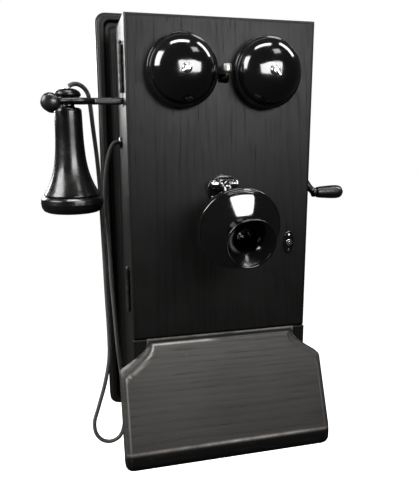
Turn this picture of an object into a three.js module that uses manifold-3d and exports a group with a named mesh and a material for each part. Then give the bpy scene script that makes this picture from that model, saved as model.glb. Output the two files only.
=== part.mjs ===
// Wall crank telephone: a wooden wall set with two gongs, a tilting transmitter,
// a hung receiver on a switch hook, a writing shelf and a hand-cranked generator.
// Units are millimetres. +X is to the right of someone facing the set, +Y goes
// into the wall, +Z is up. The origin is the centre of the backboard's rear face.
import * as THREE from "three";
import { mergeVertices } from "three/addons/utils/BufferGeometryUtils.js";
import Module from "manifold-3d";

const wasm = await Module();
wasm.setup();

// ---------------------------------------------------------------- dimensions
const GAP = 0.3; // clearance between touching pieces

const BOARD = { halfW: 134, halfH: 272, t: 22, r: 13 }; // backboard
const BOX = { halfW: 110, top: 248, bottom: -248, wall: 13, front: -125, back: -22.3 };
const DOOR = { front: -147, back: -125.3, bottom: -122.3 };
const INNER = BOX.halfW - BOX.wall; // half width inside the case

const SHELF = { topHalf: 94, wingHalf: 128, t: 17, frontY: -199.3, topZ: -122.8, noseTop: -242, noseBottom: -264 };

const GONG = { x: 49, z: 188.5, rim: -156, r: 40, h: 26, wall: 1.8 };
const CLAPPER = { pivotY: -112, z: 182, ballY: -161, ballZ: 191.5, ballR: 5.6 };

const TILT = { y: -158, z: 64 }; // transmitter pivot, an axis along X
const FACE = new THREE.Vector3(0, -217.8, 20.7); // centre of the transmitter's front plane
const FACE_DOWN = THREE.MathUtils.degToRad(11); // how far the transmitter looks down

const SHAFT = { y: -72, z: 83, r: 4 }; // crank and generator drive shaft, along X
const GEAR_TEETH = 48, PINION_TEETH = 12, MODULE = 1.5, CENTRES = 45.35;
const PINION_Z = SHAFT.z - CENTRES;
const HANDLE = { y: -77, z: 41, x0: 152, x1: 190, pinR: 2.4 };

const HOOK = { pivotX: -80, z: 157, y: -112, halfH: 4 };
const RECEIVER = { x: -172, y: -112 };
const BUSHING = { y: -77, z: 110 };
const CORD_R = 2.6;

const HINGE = { x: -112.6, y: -125.15, r: 2.4, pinR: 1.25, boreR: 1.5, z: [192, -66], half: 26 };
const LOCK = { x: 84.5, z: -11 };

// ------------------------------------------------------------------- helpers
const V3 = (x, y, z) => new THREE.Vector3(x, y, z);
// Facets round a curve: an even number, coarser than the smooth look asks for.
const FACETS = 0.27;
const facets = (seg) => Math.max(8, 2 * Math.round(seg * FACETS));

// A closed three.js geometry as a manifold solid, faces outwards.
function solid(geometry) {
  const g = geometry.clone();
  g.deleteAttribute("normal");
  g.deleteAttribute("uv");
  const m = mergeVertices(g, 1e-4);
  const verts = m.attributes.position.array;
  let tris = new Uint32Array(m.index.array);
  const make = () => new wasm.Manifold(new wasm.Mesh({ numProp: 3, vertProperties: verts, triVerts: tris }));
  let s = make();
  if (s.volume() < 0) {
    for (let i = 0; i < tris.length; i += 3) [tris[i + 1], tris[i + 2]] = [tris[i + 2], tris[i + 1]];
    s = make();
  }
  return s;
}

function geometryOf(s) {
  const m = s.getMesh();
  const g = new THREE.BufferGeometry();
  const n = m.numProp, p = new Float32Array((m.vertProperties.length / n) * 3);
  for (let i = 0; i < p.length / 3; i++) for (let k = 0; k < 3; k++) p[i * 3 + k] = m.vertProperties[i * n + k];
  g.setAttribute("position", new THREE.BufferAttribute(p, 3));
  g.setIndex(new THREE.BufferAttribute(new Uint32Array(m.triVerts), 1));
  g.computeVertexNormals();
  return g;
}

const union = (...s) => s.reduce((a, b) => a.add(b));
const cut = (a, ...s) => s.reduce((x, y) => x.subtract(y), a);

function box(x0, x1, y0, y1, z0, z1) {
  const g = new THREE.BoxGeometry(x1 - x0, y1 - y0, z1 - z0);
  g.translate((x0 + x1) / 2, (y0 + y1) / 2, (z0 + z1) / 2);
  return solid(g);
}

// Cylinder along X, Y or Z from a0 to a1; (p, q) is its centre on the other two axes in X, Y, Z order.
function rod(axis, r, a0, a1, p, q, seg = 20, r2 = r) {
  const g = new THREE.CylinderGeometry(r2, r, a1 - a0, seg === 6 ? 6 : facets(seg));
  const mid = (a0 + a1) / 2;
  if (axis === "z") { g.rotateX(Math.PI / 2); g.translate(p, q, mid); }
  if (axis === "y") { g.translate(p, mid, q); }
  if (axis === "x") { g.rotateZ(-Math.PI / 2); g.translate(mid, p, q); }
  return solid(g);
}

// Solid of revolution of (radius, height) pairs about Z.
const lathe = (pairs, seg = 32) => {
  const pts = pairs.map(([r, h]) => new THREE.Vector2(r, h));
  if (!(pairs[0][0] === 0 && pairs[pairs.length - 1][0] === 0)) pts.push(pts[0].clone());
  const g = new THREE.LatheGeometry(pts, facets(seg));
  g.rotateX(Math.PI / 2);
  return g;
};
const placed = (g, matrix) => solid(g.clone().applyMatrix4(matrix));
// +Z of the lathe turned to point out of the door (along -Y), at a given point
const facing = (x, y, z) => new THREE.Matrix4().makeTranslation(x, y, z).multiply(new THREE.Matrix4().makeRotationX(Math.PI / 2));
// +Z of the lathe turned to the transmitter's axis
const onFace = new THREE.Matrix4().makeTranslation(FACE.x, FACE.y, FACE.z)
  .multiply(new THREE.Matrix4().makeRotationX(Math.PI / 2 + FACE_DOWN));

const shapeOf = (pts) => new THREE.Shape(pts.map(([a, b]) => new THREE.Vector2(a, b)));
function extrude(shape, depth, matrix) {
  const g = new THREE.ExtrudeGeometry(shape, { depth, bevelEnabled: false, curveSegments: 4 });
  g.applyMatrix4(matrix);
  return solid(g);
}
// section in (Y, Z), running along X
const alongX = (pts, x0, x1) => extrude(pts instanceof THREE.Shape ? pts : shapeOf(pts), x1 - x0,
  new THREE.Matrix4().set(0, 0, 1, x0, 1, 0, 0, 0, 0, 1, 0, 0, 0, 0, 0, 1));
// section in (X, Z), running along Y from y0 to y1
const alongY = (pts, y0, y1) => extrude(pts instanceof THREE.Shape ? pts : shapeOf(pts), y1 - y0,
  new THREE.Matrix4().set(1, 0, 0, 0, 0, 0, -1, y1, 0, 1, 0, 0, 0, 0, 0, 1));
// section in (X, Y), running along Z
const alongZ = (pts, z0, z1) => extrude(pts instanceof THREE.Shape ? pts : shapeOf(pts), z1 - z0, new THREE.Matrix4().makeTranslation(0, 0, z0));

function roundedRect(a0, a1, b0, b1, r) {
  const s = new THREE.Shape();
  s.moveTo(a0 + r, b0); s.lineTo(a1 - r, b0); s.absarc(a1 - r, b0 + r, r, -Math.PI / 2, 0);
  s.lineTo(a1, b1 - r); s.absarc(a1 - r, b1 - r, r, 0, Math.PI / 2);
  s.lineTo(a0 + r, b1); s.absarc(a0 + r, b1 - r, r, Math.PI / 2, Math.PI);
  s.lineTo(a0, b0 + r); s.absarc(a0 + r, b0 + r, r, Math.PI, 1.5 * Math.PI);
  return s;
}

// A bar of round section along a smooth path.
function tube(points, r, steps, seg = 8, tension = 0.5) {
  const path = new THREE.CatmullRomCurve3(points.map((p) => V3(...p)), false, "centripetal", tension);
  const section = new THREE.Shape();
  for (let i = 0; i < seg; i++) {
    const a = (2 * Math.PI * i) / seg;
    i ? section.lineTo(r * Math.cos(a), r * Math.sin(a)) : section.moveTo(r, 0);
  }
  return solid(new THREE.ExtrudeGeometry(section, { steps, extrudePath: path, bevelEnabled: false }));
}
function ball(r, x, y, z, sx = 1, sy = 1, sz = 1, seg = 16) {
  const g = new THREE.SphereGeometry(r, facets(seg), Math.max(5, Math.round(facets(seg) * 0.6)));
  g.scale(sx, sy, sz); g.translate(x, y, z);
  return solid(g);
}

// Spur gear outline: straight-flanked teeth, cut a little thin so a pair runs free.
function gearShape(teeth, module, bore, phase, thin = 0.74) {
  const rp = (teeth * module) / 2, ra = rp + module * 0.82, rf = rp - module * 1.2;
  const p = (2 * Math.PI) / teeth, s = new THREE.Shape();
  const at = (r, a) => [r * Math.cos(a), r * Math.sin(a)];
  for (let i = 0; i < teeth; i++) {
    const c = phase + i * p, w = (p / 4) * thin;
    const pts = [at(rf, c - 1.5 * w), at(ra, c - 0.5 * w), at(ra, c + 0.5 * w), at(rf, c + 1.5 * w)];
    pts.forEach(([a, b], k) => (i || k ? s.lineTo(a, b) : s.moveTo(a, b)));
  }
  s.closePath();
  const hole = new THREE.Path();
  hole.absarc(0, 0, bore, 0, 2 * Math.PI, true);
  s.holes.push(hole);
  return s;
}

// ----------------------------------------------------------------- materials
const mat = (color, roughness, metalness = 0) => new THREE.MeshStandardMaterial({ color, roughness, metalness });
const M = {
  oak: () => mat(0x2e2622, 0.45),
  oakShelf: () => mat(0x3f3530, 0.4),
  innerWood: () => mat(0x6b5a48, 0.7),
  blackNickel: () => mat(0x0a0a0b, 0.12, 0.9),
  japan: () => mat(0x0b0b0c, 0.2),
  hardRubber: () => mat(0x0c0c0d, 0.28),
  nickel: () => mat(0xa9a7a2, 0.25, 1),
  brass: () => mat(0xb08a48, 0.35, 1),
  steel: () => mat(0x77777a, 0.4, 1),
  iron: () => mat(0x3a3a3c, 0.6, 0.9),
  magnet: () => mat(0x5a1a18, 0.5, 0.3),
  wire: () => mat(0x2f5a3a, 0.6),
  cord: () => mat(0x46423c, 0.85),
  paper: () => mat(0x8c7a52, 0.8),
  carbon: () => mat(0x1a1a1a, 0.8),
};

const phone = new THREE.Group();
function add(group, name, s, material) {
  const mesh = new THREE.Mesh(geometryOf(s), material);
  mesh.name = name;
  group.add(mesh);
}
const caseGroup = new THREE.Group(), doorGroup = new THREE.Group(), transmitter = new THREE.Group(),
  crank = new THREE.Group(), hook = new THREE.Group(), receiver = new THREE.Group();
phone.add(caseGroup, doorGroup, transmitter, crank, hook, receiver);

// ---------------------------------------------------------------------- case
{
  // Backboard, its front edge stepped down to a rounded bead all round.
  const slab = (inset, y0, y1, r) => alongY(roundedRect(-BOARD.halfW + inset, BOARD.halfW - inset, -BOARD.halfH + inset, BOARD.halfH - inset, r), y0, y1);
  add(caseGroup, "backboard", union(slab(0, -15, 0, BOARD.r), slab(1.6, -19, -15, BOARD.r - 1.6), slab(4.5, -BOARD.t, -19, BOARD.r - 4)), M.oak());

  const mortise = (z) => box(-111, -98.4, -125.5, -123.6, z - HINGE.half - GAP, z + HINGE.half + GAP);
  let left = box(-BOX.halfW, -INNER, BOX.front, BOX.back, BOX.bottom, BOX.top);
  left = cut(left, box(-112, -95, HOOK.y - 5, HOOK.y + 5, 151, 174), rod("x", 4.9, -112, -95, BUSHING.y, BUSHING.z, 20), ...HINGE.z.map(mortise));
  add(caseGroup, "left_side", left, M.oak());
  const right = cut(box(INNER, BOX.halfW, BOX.front, BOX.back, BOX.bottom, BOX.top), rod("x", 7, 95, 112, SHAFT.y, SHAFT.z, 24));
  add(caseGroup, "right_side", right, M.oak());
  const ix = INNER - GAP;
  add(caseGroup, "top_board", box(-ix, ix, BOX.front, BOX.back, BOX.top - BOX.wall, BOX.top), M.oak());
  add(caseGroup, "bottom_board", box(-ix, ix, BOX.front, BOX.back, BOX.bottom, BOX.bottom + BOX.wall), M.oak());
  add(caseGroup, "lower_front_panel", box(-BOX.halfW, BOX.halfW, DOOR.front, DOOR.back, BOX.bottom, DOOR.bottom - 0.5), M.oak());
  add(caseGroup, "generator_shelf", box(-ix, ix, -112, BOX.back, 5, 15), M.innerWood());
}

// Writing shelf: a steep board with an upright front edge and ogee-cut upper corners.
{
  const S = SHELF, y0 = DOOR.front - GAP;
  const dy = S.frontY - y0, dz = S.noseTop - S.topZ, len = Math.hypot(dy, dz);
  const u = [dy / len, dz / len], n = [-u[1], u[0]]; // down the slope, and into the board
  const under = (s) => [y0 + u[0] * s + n[0] * S.t, S.topZ + u[1] * s + n[1] * S.t];
  const s0 = -(n[0] * S.t) / u[0]; // where the underside meets the panel
  const section = [[y0, S.topZ], [S.frontY + 2.2, S.noseTop + 3.2], [S.frontY, S.noseTop - 3], [S.frontY, S.noseBottom + 5], [S.frontY + 4, S.noseBottom],
    [S.frontY + S.t - 1, S.noseBottom], under(len + 4), [y0, under(s0)[1]]];
  const body = alongX(section, -S.wingHalf, S.wingHalf);
  const outline = new THREE.Shape();
  const half = [[S.topHalf, 0], [S.topHalf, -9], [S.topHalf + 3, -14], [S.topHalf + 11, -22], [S.topHalf + 20, -29.5], [S.wingHalf - 3, -35.5], [S.wingHalf, -39]];
  const z = S.topZ + 1;
  half.forEach(([a, b], i) => (i ? outline.lineTo(a, z + b) : outline.moveTo(a, z + b)));
  outline.lineTo(S.wingHalf, S.noseBottom + 10); outline.absarc(S.wingHalf - 10, S.noseBottom + 9.5, 10, 0, -Math.PI / 2, true);
  outline.absarc(-S.wingHalf + 10, S.noseBottom + 9.5, 10, -Math.PI / 2, -Math.PI, true);
  [...half].reverse().forEach(([a, b]) => outline.lineTo(-a, z + b));
  outline.closePath();
  add(caseGroup, "writing_shelf", body.intersect(alongY(outline, -230, -120)), M.oakShelf());
}

// Butt hinges on the left: one leaf let into the case, one into the door, knuckles outside.
const hingeParts = HINGE.z.map((z) => {
  const { x, y, r, half } = HINGE, n = 5, step = (2 * half) / n;
  const knuckle = (i) => rod("z", r, z - half + i * step + 0.15, z - half + (i + 1) * step - 0.15, x, y, 16);
  const leaf = (inner, tab, own) => {
    let s = inner;
    for (const i of own) {
      s = union(s, knuckle(i), box(x, -109, tab[0], tab[1], z - half + i * step + 0.15, z - half + (i + 1) * step - 0.15));
    }
    return cut(s, rod("z", HINGE.boreR, z - half - 1, z + half + 1, x, y, 16));
  };
  return {
    caseLeaf: leaf(box(-109.9, -98.7, -125, -123.9, z - half, z + half), [-125, -123.9], [0, 2, 4]),
    doorLeaf: leaf(box(-109.9, -98.7, -126.4, -125.3, z - half, z + half), [-126.4, -125.3], [1, 3]),
    pin: union(rod("z", HINGE.pinR, z - half - 0.5, z + half + 0.5, x, y, 16), ball(2.3, x, y, z + half + 2, 1, 1, 0.9, 12)),
  };
});
["upper", "lower"].forEach((w, i) => {
  add(caseGroup, `hinge_case_leaf_${w}`, hingeParts[i].caseLeaf, M.brass());
  add(caseGroup, `hinge_pin_${w}`, hingeParts[i].pin, M.brass());
  add(doorGroup, `hinge_door_leaf_${w}`, hingeParts[i].doorLeaf, M.brass());
});

// ---------------------------------------------------------------------- door
{
  let door = box(-BOX.halfW, BOX.halfW, DOOR.front, DOOR.back, DOOR.bottom, BOX.top);
  door = cut(door,
    alongY(roundedRect(-6.5, 6.5, CLAPPER.z - 5, CLAPPER.z + 5, 4), -150, -120),
    rod("y", 4.4, -150, -120, LOCK.x, LOCK.z, 20),
    ...HINGE.z.map((z) => box(-111, -98.4, -126.7, -124, z - HINGE.half - GAP, z + HINGE.half + GAP)));
  add(doorGroup, "door", door, M.oak());

  // cupboard lock: plate, turning barrel with its cam, and the strike on the case
  const plate = new THREE.Shape();
  for (let i = 0; i < 24; i++) {
    const a = (2 * Math.PI * i) / 24;
    const p = [LOCK.x + 6.8 * Math.cos(a), LOCK.z + 14 * Math.sin(a)];
    i ? plate.lineTo(...p) : plate.moveTo(...p);
  }
  add(doorGroup, "lock_escutcheon", cut(alongY(plate, DOOR.front - GAP - 1.6, DOOR.front - GAP), rod("y", 4.4, -152, -140, LOCK.x, LOCK.z, 20)), M.japan());
  const barrel = union(rod("y", 3.9, -150.4, -122.2, LOCK.x, LOCK.z, 20), box(LOCK.x - 4, LOCK.x + 4, -122.8, -120.8, LOCK.z - 9.4, LOCK.z + 3));
  add(doorGroup, "lock_barrel", barrel, M.nickel());
  add(caseGroup, "lock_strike", union(box(INNER - 1.9, INNER - GAP, -124.9, -108, LOCK.z - 9, LOCK.z + 9), box(INNER - 7, INNER - 1, -124.9, -123.3, LOCK.z - 9, LOCK.z + 9)), M.brass());
}

// --------------------------------------------------------------------- gongs
const G = GONG;
const gongProfile = () => {
  const outer = [[G.r, 0], [G.r, 3.8], [G.r - 3.2, 6.2], [G.r - 4.8, 12.5], [G.r - 9.6, 18.6], [G.r - 19, 23.6], [2.4, G.h]];
  const inner = [[2.4, G.h - G.wall], [G.r - 20, 21.6], [G.r - 11.3, 17.1], [G.r - 6.9, 11.8], [G.r - 5.3, 5.6], [G.r - 2.2, 3], [G.r - 2.2, 0]];
  return lathe([...outer, ...inner], 40);
};
for (const [side, sx] of [["left", -1], ["right", 1]]) {
  const x = sx * G.x;
  add(doorGroup, `gong_${side}`, placed(gongProfile(), facing(x, G.rim, G.z)), M.blackNickel());
  const top = G.rim - (G.h - G.wall);
  // stud from the door through the gong, its screw holding the gong on
  const head = placed(lathe([[0, -12], [1.9, -12], [1.9, 0], [5.2, 0], [5.2, 1.2], [4.3, 2.6], [2.4, 3.5], [0, 3.8]], 20), facing(x, G.rim - G.h - GAP, G.z));
  const stud = union(rod("y", 5, top + 0.9, DOOR.front - GAP, x, G.z, 16), rod("y", 9, DOOR.front - 3, DOOR.front - GAP, x, G.z, 20), head);
  add(doorGroup, `gong_stud_${side}`, cut(stud, box(x - 6, x + 6, G.rim - G.h - 6, G.rim - G.h - 3.1, G.z - 0.6, G.z + 0.6)), M.nickel());
}

// Polarised ringer behind the door: yoke, two coils, bias magnet, rocking armature with the clapper.
{
  const z = CLAPPER.z, py = CLAPPER.pivotY;
  const front = box(-33, 33, -124.9, -122.4, z - 17, z + 17);
  const arms = [-1, 1].map((s) => box(s > 0 ? 30 : -33, s > 0 ? 33 : -30, -124.9, -76, z - 12, z + 12));
  const heel = box(-33, 33, -80, -76, z - 12, z + 12);
  const lugs = [z + 14, z - 17].map((a) => box(-5, 5, -124.9, py + 4, a, a + 3));
  const frame = cut(union(front, ...arms, heel, ...lugs, rod("z", 1.5, z - 18, z + 18, 0, py, 14)), box(-7, 7, -130, -121, z - 10, z + 10), rod("y", 3.4, -82, -70, -16, z, 14), rod("y", 3.4, -82, -70, 16, z, 14));
  add(doorGroup, "ringer_frame", frame, M.brass());
  for (const [side, x] of [["left", -16], ["right", 16]]) {
    const coil = union(rod("y", 10.5, -101, -83, x, z, 24), rod("y", 12, -103, -101, x, z, 24), rod("y", 12, -83, -80.3, x, z, 24), rod("y", 3, -106, -77, x, z, 14));
    add(doorGroup, `ringer_coil_${side}`, coil, M.wire());
  }
  const armature = cut(union(box(-23, 23, py - 1.6, py + 1.6, z - 5, z + 5), rod("z", 4, z - 11, z + 11, 0, py, 16)), rod("z", 1.85, z - 20, z + 20, 0, py, 14));
  add(doorGroup, "ringer_armature", armature, M.iron());
  const yb = CLAPPER.ballY, zb = CLAPPER.ballZ;
  const rodPath = tube([[0, py - 4.4, z], [0, -130, z], [0, -150, z], [0, yb + 2.5, z + 0.8], [0, yb, z + 3.6], [0, yb, zb - 3]], 1.4, 24, 8);
  add(doorGroup, "clapper", union(rodPath, ball(CLAPPER.ballR, 0, yb, zb, 1, 1, 1, 20)), M.nickel());
}

// --------------------------------------------------------------- transmitter
{
  const { y, z } = TILT;
  // bracket on the door: round foot with two ears
  const foot = rod("y", 19, -149.6, DOOR.front - GAP, 0, 55, 32);
  const ear = (x0, x1) => union(box(x0, x1, y, -149, z - 8, z + 8), rod("x", 8, x0, x1, y, z, 24));
  add(doorGroup, "transmitter_bracket", cut(union(foot, ear(-12, -9), ear(9, 12)), rod("x", 3.3, -14, 14, y, z, 20)), M.nickel());
  add(doorGroup, "pivot_bolt", union(rod("x", 3, -16.8, 12.4, y, z, 20), rod("x", 5.6, 12.3, 16, y, z, 20), rod("x", 5.4, -15.6, -12.3, y, z, 6)), M.nickel());

  // arm: a bent bar from the pivot to a round flange on the cup's back
  const boss = rod("x", 8, -8.7, 8.7, y, z, 24);
  const onBack = (up) => [FACE.y + 40.4 * Math.cos(FACE_DOWN) - up * Math.sin(FACE_DOWN), FACE.z + 40.4 * Math.sin(FACE_DOWN) + up * Math.cos(FACE_DOWN)];
  const link = alongX([[y - 1, z + 8], [y - 14, z + 5.5], onBack(12), onBack(-9), [y - 6, z - 12], [y + 3, z - 7.4]], -6.5, 6.5);
  const flange = placed(lathe([[0, -42], [17, -42], [17, -38.3], [0, -38.3]], 28), onFace);
  add(transmitter, "transmitter_arm", cut(union(boss, link, flange), rod("x", 3.35, -10, 10, y, z, 20)), M.japan());

  add(transmitter, "transmitter_cup", placed(lathe([[0, -38], [25, -38], [34.4, -33], [38.4, -22], [38.4, -1.3], [36, -1.3], [36, -21], [32.4, -31], [24, -35.4], [0, -35.4]], 40), onFace), M.japan());
  add(transmitter, "transmitter_faceplate", placed(lathe([[10.6, -1], [10.6, 12.8], [16.5, 13.6], [22, 11.5], [34, 5.4], [42, 0.9], [46.2, -2.6], [46.2, -8.4], [38.8, -8.4], [38.8, -1]], 48), onFace), M.japan());
  add(transmitter, "mouthpiece", placed(lathe([[10.2, -0.8], [10.2, 13.6], [14.4, 13.8], [14.4, 17], [11.8, 19], [12.8, 22.2], [16, 27], [19.8, 30.8], [23.4, 34], [26.4, 36.6], [26.9, 38], [26, 39.2], [24.9, 38.6], [21.6, 35.4], [18.2, 32.2], [15, 28.9], [12.2, 25.2], [10.2, 21.4], [8.6, 15], [7.2, -0.8]], 40), onFace), M.japan());
  add(transmitter, "transmitter_diaphragm", placed(lathe([[0, -3], [35.4, -3], [35.4, -2.3], [0, -2.3]], 40), onFace), M.nickel());
  const bridge = new THREE.BoxGeometry(68, 14, 3); bridge.translate(0, 0, -16.8);
  add(transmitter, "carbon_button", union(placed(lathe([[0, -15.5], [11, -15.5], [11, -5.5], [3, -5.5], [3, -3.4], [0, -3.4]], 24), onFace), placed(bridge, onFace)), M.brass());
}

// -------------------------------------------------------- crank and generator
{
  const { y, z, r } = SHAFT;
  add(caseGroup, "crank_bush", cut(union(rod("x", 6.6, 95.5, 111, y, z, 24), placed(lathe([[0, 0], [14, 0], [14, 1.4], [11, 2.8], [8, 3.4], [0, 3.4]], 28).rotateY(Math.PI / 2), new THREE.Matrix4().makeTranslation(110.3, y, z))), rod("x", r + 0.35, 90, 120, y, z, 24)), M.blackNickel());
  add(crank, "crank_shaft", rod("x", r, -66, 121, y, z, 24), M.steel());
  const hub = rod("x", 8, 115, 125.5, y, z, 24);
  const arm = tube([[119, y, z - 3], [125, y - 0.6, z - 10], [134, y - 2, z - 21.5], [141, -75.9, z - 33], [147.5, HANDLE.y, HANDLE.z + 1], [150.5, HANDLE.y, HANDLE.z]], 4.6, 14, 10);
  const collar = rod("x", 6.4, 146, 151.4, HANDLE.y, HANDLE.z, 20);
  // the handle turns on a headed pin riveted into the arm
  const pin = union(rod("x", HANDLE.pinR, 146, 190.6, HANDLE.y, HANDLE.z, 16), rod("x", 4.4, 190.5, 192, HANDLE.y, HANDLE.z, 16));
  add(crank, "crank_arm", cut(union(hub, arm, collar, pin), rod("x", r + GAP, 110, 122.3, y, z, 24)), M.blackNickel());
  add(crank, "crank_handle", placed(lathe([[HANDLE.pinR + 0.5, 0], [6.2, 0], [7.6, 3], [8.3, 11], [8.9, 22], [9.1, 29], [8.4, 35], [6.2, 38], [HANDLE.pinR + 0.5, 38]], 24).rotateY(Math.PI / 2), new THREE.Matrix4().makeTranslation(HANDLE.x0, HANDLE.y, HANDLE.z)), M.hardRubber());

  add(crank, "drive_gear", alongX(gearShape(GEAR_TEETH, MODULE, r + 0.3, Math.PI / 2 + Math.PI / GEAR_TEETH), 68, 74).translate([0, y, z]), M.brass());
  const pinion = alongX(gearShape(PINION_TEETH, MODULE, 2.5, Math.PI / 2), 66, 76).translate([0, y, PINION_Z]);
  add(crank, "generator_armature", union(rod("x", 19.4, -51, 51, y, PINION_Z, 28), rod("x", 3, -64, 79, y, PINION_Z, 20), pinion), M.iron());

  for (const [side, x] of [["left", -60], ["right", 57]])
    add(caseGroup, `generator_end_${side}`, cut(box(x, x + 3, y - 31, y + 31, 15.3, 100), rod("x", r + 0.4, x - 2, x + 5, y, z, 24), rod("x", 3.4, x - 2, x + 5, y, PINION_Z, 20)), M.brass());
  // two horseshoe magnets straddling the armature
  const mag = new THREE.Shape(), top = 88, bottom = 17;
  mag.moveTo(y - 28, bottom); mag.lineTo(y - 20.3, bottom); mag.lineTo(y - 20.3, top);
  mag.absarc(y, top, 20.3, Math.PI, 0, true); mag.lineTo(y + 20.3, bottom); mag.lineTo(y + 28, bottom); mag.lineTo(y + 28, top);
  mag.absarc(y, top, 28, 0, Math.PI, false); mag.closePath();
  [[-54, -0.8], [0.8, 54]].forEach(([a, b], i) => add(caseGroup, `generator_magnet_${i + 1}`, alongX(mag, a, b), M.magnet()));
}

// ----------------------------------------------------- other working pieces
{
  for (const [side, x] of [["left", -44], ["right", 44]])
    add(caseGroup, `dry_cell_${side}`, union(rod("z", 32, -234.7, -86, x, -68, 28), rod("z", 5, -86, -78, x, -68, 12), rod("z", 3, -86, -78, x + 22, -68, 10)), M.paper());
  const coil = union(rod("x", 11, -38, 38, -38, -28, 24), box(-42, -38, -53, -22.6, -43, -13), box(38, 42, -53, -22.6, -43, -13));
  add(caseGroup, "induction_coil", coil, M.wire());
  const screws = [-45, -15, 15, 45].map((x) => union(rod("y", 4.4, -40, -34, x, -60, 12), rod("y", 2, -45, -34, x, -60, 10)));
  add(caseGroup, "terminal_block", union(box(-60, 60, -35, -22.6, -68, -52), ...screws), M.carbon());
}

// --------------------------------------------------------------- switch hook
{
  const { pivotX: px, y, z, halfH: h } = HOOK;
  const base = cut(box(-96.7, -94.2, y - 11, y + 11, 139, 184), box(-99, -92, y - 5, y + 5, 150, 178));
  const cheek = (y0, y1) => box(-94.4, px + 7, y0, y1, z - 9, z + 9);
  add(caseGroup, "hook_bracket", cut(union(base, cheek(y - 8, y - 5), cheek(y + 5, y + 8)), rod("y", 2, y - 12, y + 12, px, z, 16)), M.brass());
  add(caseGroup, "hook_pivot_pin", union(rod("y", 1.6, y - 8.6, y + 8.6, px, z, 16), rod("y", 3, y + 8.3, y + 10, px, z, 16)), M.steel());
  // lever with an open fork: two prongs beside the receiver's neck, tips thick and flared apart
  const bar = alongY([[-146, z - h], [-62, z - h + 1], [-62, z + h - 1], [-84, z + h + 1], [-146, z + h]], y - 3.4, y + 3.4);
  const bow = box(-153, -144, y - 10, y + 10, z - h, z + h);
  const prong = (s) => {
    const pts = [[-146, y + s * 5], [-152, y + s * 9.5], [-160, y + s * 11.8], [-172, y + s * 12.2], [-182, y + s * 14.5], [-190, y + s * 20.4]];
    const side = [[], []];
    pts.forEach((p, i) => {
      const a = pts[Math.max(0, i - 1)], b = pts[Math.min(pts.length - 1, i + 1)];
      const dx = b[0] - a[0], dyy = b[1] - a[1], l = Math.hypot(dx, dyy);
      const t = 3.7;
      side[0].push([p[0] - (dyy / l) * t, p[1] + (dx / l) * t]);
      side[1].unshift([p[0] + (dyy / l) * t, p[1] - (dx / l) * t]);
    });
    return union(alongZ([...side[0], ...side[1]], z - h, z + h), ball(10.5, -190, y + s * 23, z - 2.5, 1, 0.62, 1, 16));
  };
  const gap = rod("z", 8.4, z - 20, z + 20, RECEIVER.x, y, 28);
  const mouth = box(-205, RECEIVER.x, y - 8.4, y + 8.4, z - 20, z + 20);
  add(hook, "hook_lever", cut(union(bar, bow, prong(-1), prong(1)), gap, mouth, rod("y", 1.95, y - 5, y + 5, px, z, 16)), M.blackNickel());
  // contact springs under the lever's tail, on an insulating block
  const blade = (z0) => box(-76, -50, y - 3, y + 3, z0, z0 + 0.8);
  add(caseGroup, "contact_springs", union(box(-58, -46, y - 6, y + 6, 125, 148), box(-96.7, -46, y - 6, y + 6, 125, 132), blade(146.5), blade(142), blade(137.5)), M.brass());
}

// ------------------------------------------------------------------ receiver
{
  const at = new THREE.Matrix4().makeTranslation(RECEIVER.x, RECEIVER.y, 0);
  add(receiver, "ear_cap", placed(lathe([[6, 34.5], [16, 33.6], [25, 31.6], [30, 32.2], [34, 35.2], [35.4, 40], [35.2, 46], [33.6, 49.2], [31, 50], [30.6, 44], [30.6, 37.4], [6, 37.4]], 40), at), M.hardRubber());
  add(receiver, "receiver_diaphragm", placed(lathe([[0, 44.2], [30.2, 44.2], [30.2, 44.8], [0, 44.8]], 36), at), M.iron());
  add(receiver, "receiver_shell", placed(lathe([[0, 161], [7.2, 161], [7.2, 149.8], [12.6, 149.6], [15.2, 146], [15.6, 124], [16.3, 107], [18.6, 87], [22.6, 72],
    [29.4, 57], [31.6, 52], [30.4, 50.3], [27.6, 50.3], [20, 70], [16, 86], [12.8, 112], [12.4, 143], [0, 144]], 36), at), M.hardRubber());
  add(receiver, "receiver_tail_cap", placed(lathe([[0, 161.3], [13.5, 161.3], [15, 163], [15, 165], [13.2, 167.8], [9.4, 169.9], [4.6, 170.9], [0, 171]], 28), at), M.hardRubber());
  const legs = [-1, 1].map((s) => box(RECEIVER.x + s * 7 - 2, RECEIVER.x + s * 7 + 2, RECEIVER.y - 5, RECEIVER.y + 5, 48, 134));
  add(receiver, "receiver_magnet", union(...legs, box(RECEIVER.x - 9, RECEIVER.x + 9, RECEIVER.y - 5, RECEIVER.y + 5, 130, 140), box(RECEIVER.x - 15, RECEIVER.x + 15, RECEIVER.y - 9, RECEIVER.y + 9, 47, 59)), M.magnet());
}

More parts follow.
